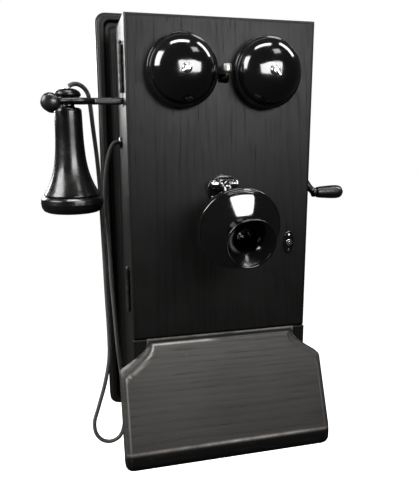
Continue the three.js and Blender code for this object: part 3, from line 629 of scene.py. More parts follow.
# oak_shelf: low= paints shade on the upright nose below the arris
# oak_shelf: the pale edge colour and the rub band paint highlight lines along the shelf's edges, partly wear
W_SHELF = wood("oak_shelf", "x", dark=(0.0135, 0.0126, 0.0117), light=(0.037, 0.0343, 0.0317), edge=(0.5, 0.47, 0.44), seed=8.4, rough=0.42, worn=0.9, low=-0.2435, rub_and_highlight_band=True)
W_INNER = bare_wood("inner_pine", "x", seed=2.0)
M_GONG = gloss_black("black_nickel", base=(0.0035, 0.0035, 0.0038), rough=0.09, edge_tone=(0.32, 0.31, 0.29), worn=0.5, peel=0.012, metal=0.0, spec=0.75)
M_HOOK = gloss_black("black_nickel_cast", base=(0.009, 0.009, 0.0093), rough=0.3, edge_tone=(0.12, 0.115, 0.11), worn=0.5, peel=0.3, radius=0.0012)
# japan_black: the pale edge tone is partly wear and partly a painted highlight for the thin grey lines on the
# transmitter's rims
M_JAPAN = gloss_black("japan_black", base=(0.003, 0.003, 0.0032), rough=0.08, edge_tone=(0.2, 0.19, 0.17), worn=0.6, peel=0.02, spec=1.0)
M_HINGE = gloss_black("hinge_black", base=(0.008, 0.0075, 0.007), rough=0.42, edge_tone=(0.05, 0.045, 0.038), worn=0.5, peel=0.15, radius=0.0006)
M_RUBBER = ebonite("hard_rubber")
M_HORN = ebonite("hard_rubber_horn", base=(0.0028, 0.0028, 0.0028), rough=0.12, axis="y", turn=0.02)
M_GRIP = ebonite("hard_rubber_grip", base=(0.012, 0.0115, 0.011), rough=0.3, axis="x", turn=0.06)
M_NICKEL = metal("nickel_plate", (0.56, 0.55, 0.53), 0.17, (0.2, 0.18, 0.15), 0.5)
M_DULLNICKEL = metal("nickel_worn", (0.42, 0.41, 0.39), 0.34, (0.12, 0.11, 0.1), 0.7)
M_BRASS = metal("brass", (0.52, 0.38, 0.17), 0.3, (0.16, 0.1, 0.04), 0.6, "x")
M_STEEL = metal("steel", (0.36, 0.36, 0.37), 0.32, (0.14, 0.1, 0.07), 0.4, "x")
M_IRON = cast_iron("soft_iron")
M_MAGNET = gloss_black("magnet_enamel", base=(0.075, 0.012, 0.009), rough=0.36, edge_tone=(0.12, 0.11, 0.1), worn=0.6, peel=0.25, radius=0.001)
M_WIRE = winding("green_silk", (0.03, 0.085, 0.048))
M_WIREX = winding("green_silk_x", (0.03, 0.085, 0.048), "x")
M_CORD = braid("cord_braid")
M_PAPER = jacket("cell_jacket")
M_BLOCK = ebonite("ebonite_block", base=(0.016, 0.015, 0.014), rough=0.42)
M_WAX = ebonite("pitch_seal", base=(0.012, 0.011, 0.01), rough=0.35)
M_PIT = Tree("dark_slot").set(color=(0.002, 0.002, 0.002), rough=0.9)


# ------------------------------------------------------------------ the receiver's cord, made first
ROUTE = [
    [-169.4, -110.4, 173.6], [-164.7, -107.3, 175.8], [-159.6, -104, 175.9], [-154.9, -101, 173.7], [-151, -98.4, 169.7], [-148.5, -96.9, 164.3], [-147.3, -96.1, 157], [-146.2, -95.7, 146], [-144.6, -95, 126],
    [-141.4, -94, 90], [-139.2, -93, 43], [-138, -92.5, -20], [-137, -92, -85], [-136, -92, -138], [-137, -92, -166], [-143.5, -92, -200], [-153.5, -92, -234], [-159.4, -92, -255],
    [-157.6, -92, -271], [-150, -92, -281.6], [-139, -91.4, -285.4], [-128, -90, -281.6], [-121.6, -88.4, -270], [-119.6, -87, -246], [-121, -84.5, -202], [-124.5, -82, -159], [-127.4, -80, -104],
    [-129.4, -79, -64], [-130, -78, -24], [-131.6, -77.5, 14], [-132.8, -77, 40], [-131.6, -77, 66], [-128, -77, 88], [-123.4, -77, 103.5], [-118.6, -77, 109.4], [-114.5, -77, 110],
]
CORD_R = 2.6


def centripetal(points, per=40):
    """The same centripetal curve through the route as the CAD tube follows."""
    pts = [Vector(p) for p in points]
    n, out = len(pts), []
    for i in range(n - 1):
        p1, p2 = pts[i], pts[i + 1]
        p0 = pts[i - 1] if i > 0 else p1 * 2 - p2
        p3 = pts[i + 2] if i + 2 < n else p2 * 2 - p1
        d0, d1, d2 = [max((b - a).length_squared ** 0.25, 1e-4) for a, b in ((p0, p1), (p1, p2), (p2, p3))]
        t1 = ((p1 - p0) / d0 - (p2 - p0) / (d0 + d1) + (p2 - p1) / d1) * d1
        t2 = ((p2 - p1) / d1 - (p3 - p1) / (d1 + d2) + (p3 - p2) / d2) * d1
        for k in range(per):
            t = k / per
            out.append(p1 + t1 * t + (-3 * p1 + 3 * p2 - 2 * t1 - t2) * t * t + (2 * p1 - 2 * p2 + t1 + t2) * t ** 3)
    out.append(pts[-1])
    return out


def even_steps(pts, step):
    length = sum((b - a).length for a, b in zip(pts, pts[1:]))
    n = max(2, round(length / step))
    out, want, run, i = [pts[0]], length / n, 0.0, 0
    for a, b in zip(pts, pts[1:]):
        seg = (b - a).length
        while run + seg >= want * len(out) - 1e-9 and len(out) < n:
            out.append(a.lerp(b, (want * len(out) - run) / seg))
        run += seg
    out.append(pts[-1])
    return out, length


line, cord_length = even_steps(centripetal(ROUTE), 1.05)
SIDES = 18
pts, fr = frames(line)
verts, faces, along, around = [], [], [], []
for i, (p, (t_, n_, b_)) in enumerate(zip(pts, fr)):
    s = cord_length * i / (len(pts) - 1)
    for k in range(SIDES):
        a = 2 * PI * k / SIDES
        ph = 2 * PI * s / 4.2
        r = CORD_R - 0.12 + 0.17 * max(math.sin(ph + 8 * a / 1.0), math.sin(ph - 8 * a / 1.0)) * 0.8
        verts.append(tuple((p + n_ * (r * math.cos(a)) + b_ * (r * math.sin(a))) * MM))
        along.append(s * MM)
        around.append(a)
for i in range(len(pts) - 1):
    for k in range(SIDES):
        a, b = i * SIDES + k, i * SIDES + (k + 1) % SIDES
        faces.append((a, b, b + SIDES, a + SIDES))
faces.append(tuple(reversed(range(SIDES))))
faces.append(tuple((len(pts) - 1) * SIDES + k for k in range(SIDES)))
me = bpy.data.meshes.new("cord")
me.from_pydata(verts, [], faces)
for name, values in (("along", along), ("around", around)):
    at_ = me.attributes.new(name, "FLOAT", "POINT")
    at_.data.foreach_set("value", values)
for poly in me.polygons:
    poly.use_smooth = True
cord = bpy.data.objects.new("receiver_lead", me)
scene.collection.objects.link(cord)
me.materials.append(M_CORD)
place(cord, None, "receiver_cord")
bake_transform(cord)


# ------------------------------------------------------------------ backboard
def rr_ring(hw, hh, r, y, n=8):
    """Rounded rectangle of points in XZ at depth y."""
    out = []
    for cx, cz, a0 in ((hw - r, hh - r, 0), (-hw + r, hh - r, PI / 2), (-hw + r, -hh + r, PI), (hw - r, -hh + r, 1.5 * PI)):
        for k in range(n + 1):
            a = a0 + PI / 2 * k / n
            out.append((cx + r * math.cos(a), y, cz + r * math.sin(a)))
    return out


def loft(rings, cap_ends=True):
    n = len(rings[0])
    verts = [p for ring in rings for p in ring]
    faces = []
    for i in range(len(rings) - 1):
        for k in range(n):
            a, b = i * n + k, i * n + (k + 1) % n
            faces.append((a, b, b + n, a + n))
    if cap_ends:
        faces.append(tuple(range(n)))
        faces.append(tuple(reversed(range((len(rings) - 1) * n, len(rings) * n))))
    return verts, faces


# inset from the outline, depth: square back, rounded nose, broad bead, then a sunk cove up to the case
section = fillet([(0.8, 0.0, 0), (0.0, -0.9, 0.6), (0.0, -14.6, 0.5), (1.7, -15.2, 0.3), (1.7, -18.4, 2.2), (4.2, -21.9, 2.4), (9.8, -21.9, 2.2), (11.6, -18.6, 0.8),
                  (12.2, -16.6, 2.4), (16.5, -16.2, 2.6), (20.5, -17.4, 2.0), (22.6, -20.2, 1.2), (23.4, -21.9, 0.4), (25.5, -21.9, 0)], 0.5, 4)
rings = [rr_ring(BOARD["w"] - i, BOARD["h"] - i, max(BOARD["r"] - 0.45 * i, 2.0), y) for i, y in section]
obj("wall_board", [loft(rings)], W_BOARD, "case", "backboard", weighted=True)

# ------------------------------------------------------------------ case
left = obj("case_left", [block(-110, -97, BOX["front"], BOX["back"], BOX["bottom"], BOX["top"], 0.9)], W_LEFT, None)
slot_cut = cutter([prism(spline2([(-117, 152.2), (-117, 172.8), (-116, 174), (-108, 174), (-107, 172.8), (-107, 152.2), (-108, 151), (-116, 151), (-117, 152.2)], 1)[:-1], -114, -92, "yz", 0)])
bush_cut = cutter([rod("x", 4.9, -114, -92, BUSH[0], BUSH[1], 0)])
mort = [cutter([block(-111.5, -98.4, -126, -123.6, z - HINGE["half"] - 0.3, z + HINGE["half"] + 0.3, 0)]) for z in HINGE["z"]]
carve(left, slot_cut, bush_cut, *mort)
even(left)
place(left, "case", "left_side")

right = obj("case_right", [block(97, 110, BOX["front"], BOX["back"], BOX["bottom"], BOX["top"], 0.9)], W_RIGHT, None)
carve(right, cutter([rod("x", 7, 94, 113, *SHAFT, 0)]))
even(right)
place(right, "case", "right_side")
obj("case_top", [block(-96.7, 96.7, BOX["front"], BOX["back"], 235, 248, 0.7)], W_TOP, "case", "top_board", weighted=True)
obj("case_bottom", [block(-96.7, 96.7, BOX["front"], BOX["back"], -248, -235, 0.7)], wood("oak_bottom", "x", seed=7.7), "case", "bottom_board", weighted=True)
obj("panel_below_door", [block(-110, 110, -147, -125.3, -248, -122.8, 1.0)], W_PANEL, "case", "lower_front_panel", weighted=True)
obj("inner_shelf", [block(-96.7, 96.7, -112, BOX["back"], 5, 15, 0.6)], W_INNER, "case", "generator_shelf", weighted=True)

# ------------------------------------------------------------------ writing shelf
SH = dict(top=94.0, wing=128.0, front=-199.3, z0=-121.8, z1=-264.0, nose=-242.0)


def half_width(z):
    """Half of the shelf's width at a height: straight top, ogee shoulders, then full width with rounded lower corners."""
    d = SH["z0"] - z
    pts = [(0, 94.0), (8.5, 94.0), (10.5, 94.7), (13.5, 96.6), (18, 101.0), (23, 107.6), (27.5, 114.0), (31.5, 120.0), (34.6, 124.8), (36.6, 127.2), (38.6, 128.0)]
    for (a, wa), (b, wb) in zip(pts, pts[1:]):
        if d <= b:
            return wa + (wb - wa) * (d - a) / (b - a)
    r = 10.0
    up = z - SH["z1"]
    if up < r:
        return 118.0 + math.sqrt(max(r * r - (r - up) ** 2, 0.0))
    return 128.0


def shelf_front(z):
    """Depth of the face at a height: the slope, a rounded arris, then upright."""
    slope = -147.3 + (SH["z0"] - 1.0 - z) * (-52.0 / 119.2)
    if z > SH["nose"] + 4:
        return slope
    lo, hi = SH["nose"] - 5, SH["nose"] + 4
    if z < lo:
        return SH["front"]
    u = (hi - z) / (hi - lo)
    a, b = -147.3 + (SH["z0"] - 1.0 - hi) * (-52.0 / 119.2), SH["front"]
    mid = -198.9
    return (1 - u) ** 2 * a + 2 * u * (1 - u) * mid + u * u * b


def shelf_back(z):
    if z > -165.0:
        return -147.3
    if z > -252.5:
        return -147.3 + (-165.0 - z) * (-38.0 / 87.5)
    return -185.3 + (-252.5 - z) * (2.0 / 11.5)


outline = []
for k in range(0, 200):
    z = SH["z0"] + (SH["z1"] - SH["z0"]) * k / 199
    outline.append((half_width(z), z))


def edge_distance(x, z):
    ax = abs(x)
    best = min(SH["z0"] - z, z - SH["z1"])
    p = Vector((ax, z))
    for (x0, z0), (x1, z1) in zip(outline, outline[1:]):
        a, b = Vector((x0, z0)), Vector((x1, z1))
        d = b - a
        t = max(0.0, min(1.0, (p - a).dot(d) / max(d.length_squared, 1e-9)))
        best = min(best, (p - (a + d * t)).length)
    return max(best, 0.0)


MOULD = [(0.0, 6.4), (0.5, 4.6), (1.2, 3.2), (2.2, 2.1), (3.5, 1.45), (5.0, 1.15), (6.2, 1.1), (6.7, 0.95), (7.2, 0.25), (7.8, 0.02), (8.6, 0.0), (1e6, 0.0)]


def mould(d):
    """How far the thumb-moulded border falls below the field, by distance from the outline."""
    for (a, va), (b, vb) in zip(MOULD, MOULD[1:]):
        if d <= b:
            return va + (vb - va) * (d - a) / (b - a)
    return 0.0


steps = [0, 0.5, 1.2, 2.2, 3.5, 5.0, 6.2, 6.7, 7.2, 7.8, 8.6, 10.5, 14]
rows = sorted({SH["z0"] - s for s in steps} | {SH["z1"] + s for s in (0, 0.5, 1.2, 2.2, 3.5, 5.0, 6.2, 7.2, 8.6, 10, 12)}
              | {SH["z0"] - s for s in (8.5, 10.5, 12, 13.5, 15.7, 18, 20.5, 23, 25.2, 27.5, 29.5, 31.5, 33, 34.6, 35.6, 36.6, 37.6, 38.6, 41, 46, 54, 64, 76, 88, 100, 110)}
              | {SH["nose"] + s for s in (8, 6.2, 5, 4.2, 3.5, 2.8, 2.1, 1.4, 0.7, 0, -0.7, -1.5, -2.3, -3.2, -4, -5, -7, -9)}, reverse=True)
cols = [s * 1.0 for s in steps] + [20, 30, 42, 56, 72]
top_v, under_v, f_ = [], [], []
for z in rows:
    hw = half_width(z)
    xs = [-(hw - c) for c in cols if hw - c > 1] + [0.0] + [(hw - c) for c in reversed(cols) if hw - c > 1]
    for x in xs:
        lower_off = min(1.0, (z - SH["z1"]) / 5.0)
        y = shelf_front(z) + mould(edge_distance(x, z))
        back = shelf_back(z)
        if z > SH["z0"] - 14 and y > back - 1.0:
            y = back - 1.0
        top_v.append((x, y, z))
        under_v.append((x, back, z))
    per = len(xs)
n_rows = len(rows)
off = len(top_v)
for i in range(n_rows - 1):
    for k in range(per - 1):
        a = i * per + k
        f_.append((a, a + 1, a + 1 + per, a + per))
        f_.append((off + a, off + a + per, off + a + 1 + per, off + a + 1))
for i in range(n_rows - 1):
    for k in (0, per - 1):
        a = i * per + k
        f_.append((a, a + per, off + a + per, off + a))
for i in (0, n_rows - 1):
    for k in range(per - 1):
        a = i * per + k
        f_.append((a, a + 1, off + a + 1, off + a))
shelf = obj("shelf_board", [(top_v + under_v, f_)], W_SHELF, "case", "writing_shelf", angle=42, weighted=False)


def wear_and_highlight_at(x, y, z):
    """Painted highlight lines, partly varnish worn through: the front arris, the top edge, the shoulders, faintly the
    sides.
    """
    if y > shelf_back(z) - 0.5 or abs(y - shelf_back(z)) < 0.5:
        return 0.0
    d = edge_distance(x, z)
    arris = math.exp(-((z + 240.6) / 1.5) ** 2) * (0.55 + 0.45 * math.exp(-((x - 20) / 60) ** 2)) * min(1.0, d / 6.0)
    top = math.exp(-((d - 0.8) / 1.0) ** 2) if z > SH["z0"] - 5 and abs(x) < 97 else 0.0
    top *= 0.9 if x > 0 else 0.45 + 0.45 * (x + 94) / 94
    shoulder = 0.75 * math.exp(-((d - 7.2) / 0.9) ** 2) if SH["z0"] - 42 < z < SH["z0"] - 4 and x < 0 else 0.0
    side = 0.3 * math.exp(-((d - 7.0) / 0.8) ** 2) if z < SH["z0"] - 42 and z > -238 else 0.0
    return max(arris, top, shoulder, side)


# the 'rub' attribute marks the shelf's painted highlight lines, partly wear
wear = shelf.data.attributes.new("rub", "FLOAT", "POINT")
wear.data.foreach_set("value", [wear_and_highlight_at(v.co.x / MM, v.co.y / MM, v.co.z / MM) for v in shelf.data.vertices])

# ------------------------------------------------------------------ hinges
for which, z in zip(("upper", "lower"), HINGE["z"]):
    step = 2 * HINGE["half"] / 5

    def knuckle(i):
        a, b = z - HINGE["half"] + i * step + 0.15, z - HINGE["half"] + (i + 1) * step - 0.15
        return lathe(fillet([(1.55, a), (2.4, a, 0.25), (2.4, b, 0.25), (1.55, b)], 0, 3, True), at(HINGE["x"], HINGE["y"], 0), 32)

    for who, body, own, y0, y1 in (("case", "case", (0, 2, 4), -125.0, -123.9), ("door", "door", (1, 3), -126.4, -125.3)):
        parts = [block(-109.9, -98.7, y0, y1, z - HINGE["half"], z + HINGE["half"], 0.2)] + [knuckle(i) for i in own]
        parts += [block(-111.6, -109, y0, y1, z - HINGE["half"] + i * step + 0.15, z - HINGE["half"] + (i + 1) * step - 0.15, 0.12) for i in own]
        obj(f"hinge_{who}_{which}", parts, M_HINGE, body, f"hinge_{who}_leaf_{which}")
    pin = lathe(fillet([(0, z - 26.4), (1.25, z - 26.4, 0.4), (1.25, z + 26.3), (1.9, z + 26.5, 0.2), (2.3, z + 28.2, 0.9), (1.3, z + 29.9, 0.8), (0, z + 30.1)], 0.2, 4), at(HINGE["x"], HINGE["y"], 0), 28)
    obj(f"hinge_rod_{which}", [pin], M_HINGE, "case", f"hinge_pin_{which}")

# ------------------------------------------------------------------ door
door = obj("door_board", [block(-110, 110, DOOR["front"], DOOR["back"], DOOR["bottom"], BOX["top"], 0.8)], W_DOOR, None)
bpy.data.objects.remove(door)
bm = bmesh.new()
bmesh.ops.create_cube(bm, size=1)
for v in bm.verts:
    v.co = Vector((v.co.x * 220, (DOOR["front"] + DOOR["back"]) / 2 + v.co.y * 21.7, (DOOR["bottom"] + BOX["top"]) / 2 + v.co.z * (BOX["top"] - DOOR["bottom"])))
bmesh.ops.bevel(bm, geom=[e for e in bm.edges if all(v.co.y < -140 for v in e.verts)], offset=4.2, segments=7, profile=0.5, affect="EDGES")
soften(bm, 0.5, 2, 50)
part = lift(bm)
bm.free()
door = obj("door_board", [part], W_DOOR, None)
sl = [(6.5 * max(-1, min(1, 1.15 * math.cos(a))), 182 + 5 * max(-1, min(1, 1.25 * math.sin(a)))) for a in [2 * PI * (k + 0.5) / 32 for k in range(32)]]
carve(door, cutter([prism(sl, -152, -118, "xz", 0)]), cutter([rod("y", 4.4, -152, -118, *LOCK, 0)]),
      *[cutter([block(-111.5, -98.4, -126.7, -124, z - HINGE["half"] - 0.3, z + HINGE["half"] + 0.3, 0)]) for z in HINGE["z"]])
even(door)
place(door, "door", "door")

# lock: oval keyhole plate with two screws, and the barrel
oval = [(LOCK[0] + 6.8 * math.cos(2 * PI * k / 48), LOCK[1] + 14 * math.sin(2 * PI * k / 48)) for k in range(48)]
plate = obj("keyhole_plate", [prism(oval, -148.9, -147.3, "xz", 0.7, 3)], M_JAPAN, None)
carve(plate, cutter([rod("y", 4.4, -153, -140, *LOCK, 0)]))
place(plate, "door", "lock_escutcheon")


def screw(x, y, z, r=2.0, h=0.9, slot_angle=0.4, name="screw", body="door", mat=None, depth=4.0, m=None):
    """Round-headed slotted screw seen from the front, its head standing on the plane y."""
    prof = fillet([(0, -depth), (r * 0.45, -depth), (r * 0.45, 0), (r, 0, 0.15), (r * 0.96, h * 0.4), (r * 0.6, h * 0.88), (0, h)], 0.25, 3)
    ob = obj(name, [lathe(prof, m or facing(x, y, z), 36)], mat or M_NICKEL, None)
    c, s = math.cos(slot_angle), math.sin(slot_angle)
    w, l = 0.28, r * 1.3
    bar = [(x + dx * l * c - dz * w * s, z + dx * l * s + dz * w * c) for dx, dz in ((-1, -1), (1, -1), (1, 1), (-1, 1))]
    carve(ob, cutter([prism(bar, y - h - 2, y - h * 0.35, "xz", 0)]))
    place(ob, body, ())
    return ob


for i, dz in enumerate((9.6, -9.6)):
    s_ = screw(LOCK[0], -148.95, LOCK[1] + dz, 1.7, 0.8, 0.5 + i, f"plate_screw_{i + 1}", depth=1.6)
barrel = obj("lock_core", [rod("y", 3.9, -150.4, -122.2, *LOCK, 0.5), block(LOCK[0] - 4, LOCK[0] + 4, -122.8, -120.8, LOCK[1] - 9.4, LOCK[1] + 3, 0.3)], M_NICKEL, None)
key = [(LOCK[0] + 1.1 * math.cos(a), LOCK[1] + 0.9 + 1.1 * math.sin(a)) for a in [-0.9 + (2 * PI - 1.4) * k / 14 for k in range(15)]]
key = [(LOCK[0] + 1.15 * math.cos(a), LOCK[1] + 0.9 + 1.15 * math.sin(a)) for a in [-1.1 + (PI + 2.2) * k / 14 for k in range(15)]]
key += [(LOCK[0] - 0.75, LOCK[1] - 2.2), (LOCK[0] + 0.75, LOCK[1] - 2.2)]
carve(barrel, cutter([prism(key, -153, -146, "xz", 0)]))
place(barrel, "lock", "lock_barrel")
obj("strike_plate", [block(95.1, 96.7, -124.9, -108, -20, -2, 0.25), block(90, 96.2, -124.9, -123.3, -20, -2, 0.25)], M_BRASS, "case", "lock_strike")

# ------------------------------------------------------------------ gongs
G = GONG
R = G["r"]
outer = [(R, 0.2), (R, 3.6)]
shell_out = spline2([(R - 3.3, 6.6), (R - 4.0, 9.6), (R - 5.6, 13.4), (R - 8.5, 17.1), (R - 13.0, 20.4), (R - 18.6, 22.9), (R - 26, 24.9), (R - 33, 25.8), (2.4, 26.0)], 6)
inner = spline2([(2.4, 24.2), (R - 27, 23.0), (R - 20.0, 21.2), (R - 14.4, 18.7), (R - 10.4, 15.9), (R - 7.6, 12.2), (R - 6.0, 8.6), (R - 5.2, 5.6)], 5)
gong_profile = fillet([(R - 2.2, 0.0), (R - 0.4, 0.0, 0.4), (R, 0.8, 0.4), (R, 3.4, 1.2), (R - 1.0, 4.9, 0.8), (R - 3.2, 5.5, 0.5)], 0.5, 4) + shell_out + inner + [(R - 2.4, 3.2), (R - 2.2, 2.6)]
for side, sx in (("left", -1), ("right", 1)):
    x = sx * G["x"]
    obj(f"bell_{side}", [lathe(gong_profile, facing(x, G["rim"], G["z"]), 128)], M_GONG, "door", f"gong_{side}", angle=50)
    top = G["rim"] - G["h"]
    head = fillet([(0, 22), (5, 22), (5, 0.6), (2.4, 0.6), (2.4, 0), (1.9, 0), (1.9, -2.2), (0, -2.2)], 0.1, 1)
    stud = [rod("y", 5, top + 2.7, -147.3, x, G["z"]), rod("y", 9, -150, -147.3, x, G["z"], 0.8),
            lathe(fillet([(0, -2.5), (1.9, -2.5), (1.9, -0.3), (5.4, -0.1, 0.1), (5.5, 0.9, 0.4), (4.7, 2.5, 1.0), (2.8, 3.5, 1.2), (0, 3.8)], 0.2, 5), facing(x, top - 0.3, G["z"]), 56)]
    st = obj(f"bell_post_{side}", stud, M_NICKEL, None)
    tilt = 0.5 if sx < 0 else -0.9
    c, s = math.cos(tilt), math.sin(tilt)
    bar = [(x + dx * 6.5 * c - dz * 0.5 * s, G["z"] + dx * 6.5 * s + dz * 0.5 * c) for dx, dz in ((-1, -1), (1, -1), (1, 1), (-1, 1))]
    carve(st, cutter([prism(bar, top - 6, top - 2.9, "xz", 0)]))
    place(st, "door", f"gong_stud_{side}")

# ------------------------------------------------------------------ ringer behind the door
cz, py = 182.0, -112.0
HAM_Z = 191.5
frame_parts = [block(-33, 33, -124.9, -122.4, cz - 17, cz + 17, 0.5)]
frame_parts += [block(a, b, -124.9, -76, cz - 12, cz + 12, 0.5) for a, b in ((-33, -30), (30, 33))]
frame_parts += [block(-33, 33, -80, -76, cz - 12, cz + 12, 0.5)] + [block(-5, 5, -124.9, py + 4, a, a + 3, 0.4) for a in (cz + 14, cz - 17)] + [rod("z", 1.5, cz - 18, cz + 18, 0, py)]
ring_ob = obj("ringer_yoke", frame_parts, M_BRASS, None)
carve(ring_ob, cutter([block(-7, 7, -130, -121.2, cz - 10, cz + 10, 0)]), cutter([rod("y", 3.4, -84, -70, -16, cz, 0)]), cutter([rod("y", 3.4, -84, -70, 16, cz, 0)]))
place(ring_ob, "door", "ringer_frame")
for side, x in (("left", -16), ("right", 16)):
    obj(f"bobbin_{side}", [rod("y", 10.5, -101.2, -82.8, x, cz, 0.3)], M_WIRE, "door", f"ringer_coil_{side}")
    obj(f"bobbin_cheeks_{side}", [rod("y", 12, -103, -101.1, x, cz, 0.4), rod("y", 12, -82.9, -80.3, x, cz, 0.4), rod("y", 3, -106, -102.8, x, cz, 0.4), rod("y", 3, -80.5, -77, x, cz, 0.4)], M_BLOCK, "door")
arm = obj("armature_bar", [block(-23, 23, py - 1.6, py + 1.6, cz - 5, cz + 5, 0.5), rod("z", 4, cz - 11, cz + 11, 0, py)], M_IRON, None)
carve(arm, cutter([rod("z", 1.85, cz - 20, cz + 20, 0, py, 0)]))
place(arm, "clapper", "ringer_armature")
path = smooth_path([(0, py - 4.4, cz), (0, -128, cz), (0, -150, cz), (0, -157.2, cz + 0.5), (0, -160.4, cz + 2.6), (0, -161, cz + 5.2), (0, -161, HAM_Z - 3)], 6)
ham = lathe(fillet([(0, -5.2), (3.6, -5.2, 0.6), (5.2, -4.0, 1.0), (5.6, -2.6, 0.6), (5.6, 2.6, 0.6), (5.2, 4.0, 1.0), (3.4, 5.2, 1.0), (0, 5.4)], 0.8, 5), at(0, -161, HAM_Z), 48)
obj("clapper_hammer", [sweep(path, 1.4, 16), ham], M_DULLNICKEL, "clapper", "clapper")

# ------------------------------------------------------------------ transmitter
ty, tz = TILT
foot = lathe(fillet([(0, 0), (19, 0, 0.2), (19, 0.9, 0.5), (17.6, 1.7, 0.6), (15, 2.0, 1.0), (0, 2.3)], 0.4, 4), facing(0, -147.3, 55), 80)
br = obj("bracket_plate", [foot] + [p for x0, x1 in ((-12, -9), (9, 12)) for p in (rod("x", 8, x0, x1, ty, tz, 0.5), block(x0, x1, ty, -148.6, tz - 8, tz + 8, 0.4))], M_JAPAN, None)
carve(br, cutter([rod("x", 3.3, -15, 15, ty, tz, 0)]))
place(br, "door", "transmitter_bracket")
hexa = [(ty + 5.4 * math.cos(PI / 3 * k), tz + 5.4 * math.sin(PI / 3 * k)) for k in range(6)]
bolt_parts = [rod("x", 3, -17, 12.4, ty, tz, 0.5), lathe(fillet([(0, 12.2), (5.6, 12.2, 0.2), (5.6, 13.6, 0.5), (4.4, 15.4, 1.2), (0, 16.1)], 0.3, 5), Matrix.Translation((0, ty, tz)) @ Matrix.Rotation(PI / 2, 4, "Y"), 48),
              prism(hexa, -15.6, -12.3, "yz", 0.4)]
obj("tilt_bolt", bolt_parts, M_NICKEL, "door", "pivot_bolt")
for i, (dx, dz) in enumerate(((0, 13.6), (-12.2, -7.6), (12.2, -7.6))):
    s_ = screw(dx, -149.5, 55 + dz, 2.3, 0.9, 0.3 + i, f"bracket_screw_{i + 1}", depth=1.4)


def on_back(up):
    return (0, FACE[1] + 40.4 * math.cos(DOWN) - up * math.sin(DOWN), FACE[2] + 40.4 * math.sin(DOWN) + up * math.cos(DOWN))


boss = rod("x", 8, -8.7, 8.7, ty, tz, 0.6)
link = smooth_path([(0, ty - 1, tz - 1), (0, ty - 8, tz - 5), (0, ty - 13, tz - 14), (0, ty - 16.5, tz - 25), (0, on_back(4)[1] + 1.0, on_back(4)[2])], 6)
flange = lathe(fillet([(0, -42.2), (13, -42.2, 1.5), (17, -41.0, 0.8), (17, -38.3, 0.3), (0, -38.3)], 0.5, 4), ON_FACE, 64)
rad = [7.2 - 1.6 * math.sin(PI * k / (len(link) - 1)) for k in range(len(link))]
arm_ob = obj("tilt_arm", [boss, sweep(link, rad, 24), flange], M_JAPAN, None)
cast(arm_ob, 0.8, 5)
carve(arm_ob, cutter([rod("x", 3.35, -12, 12, ty, tz, 0)]), angle=60)
place(arm_ob, "transmitter", "transmitter_arm")

cup = fillet([(0, -38), (22, -38, 2.0), (31, -35.2, 4.5), (36.4, -29.5, 4.5), (38.4, -21, 3), (38.4, -1.3, 0.4), (36, -1.3, 0.4), (36, -21, 2), (32.4, -30, 4), (24, -35.4, 2), (0, -35.4)], 0.4, 5)
obj("transmitter_shell", [lathe(cup, ON_FACE, 112)], M_JAPAN, "transmitter", "transmitter_cup")
plate_front = spline2([(42.6, 0.6), (40.0, 2.3), (36.4, 4.3), (32.0, 6.6), (27.4, 8.9), (23.0, 11.0), (19.6, 12.5), (17.0, 13.4), (14.8, 13.8)], 6)
face_prof = fillet([(10.6, -1), (10.6, 13.6, 0.3)], 0.3, 3) + list(reversed(plate_front)) + fillet([(42.8, 0.5), (43.2, 0.1, 0.2), (44.3, 0.4, 0.8), (46.2, -1.2, 1.2), (46.2, -5.2, 1.6), (45.0, -6.8, 0.8), (44.6, -8.4, 0.4), (38.8, -8.4, 0.3), (38.8, -1)], 0.4, 5)
obj("front_plate", [lathe(face_prof, ON_FACE, 160)], M_JAPAN, "transmitter", "transmitter_faceplate", angle=42)
horn_out = spline2([(11.7, 18.6), (11.9, 20.4), (13.0, 23.0), (15.8, 27.0), (19.4, 30.8), (22.8, 33.7), (25.0, 35.6)], 6)
horn_in = spline2([(24.4, 38.0), (21.4, 35.5), (18.0, 32.3), (14.9, 29.0), (12.2, 25.2), (10.3, 21.2), (8.9, 15.6), (7.5, 6.0), (7.2, -0.8)], 6)
horn = fillet([(10.2, -0.8), (10.2, 13.6), (14.0, 13.7, 0.4), (14.5, 14.6, 0.6), (14.5, 16.2, 0.7), (13.6, 17.2, 0.5), (12.2, 17.5, 0.6), (11.7, 18.2, 0.3)], 0.3, 4) + horn_out + fillet([(26.0, 36.3), (26.9, 37.2, 0.8), (27.0, 38.6, 0.9), (26.0, 39.5, 0.9), (25.0, 39.0, 0.8)], 0.6, 5) + horn_in
obj("mouth_horn", [lathe(horn, ON_FACE, 128)], M_HORN, "transmitter", "mouthpiece", angle=50)
obj("speech_diaphragm", [lathe(fillet([(0, -3), (35.4, -3, 0.1), (35.4, -2.3, 0.1), (20, -2.2), (0, -2.2)], 0.1, 2), ON_FACE, 96)], M_NICKEL, "transmitter", "transmitter_diaphragm")
bridge = move(block(-34, 34, -7, 7, -18.3, -15.3, 0.5), ON_FACE)
obj("button_and_bridge", [lathe(fillet([(0, -15.5), (11, -15.5), (11, -5.5, 1), (3, -5.5), (3, -3.4), (0, -3.4)], 0.4, 3), ON_FACE, 64), bridge], M_BRASS, "transmitter", "carbon_button")

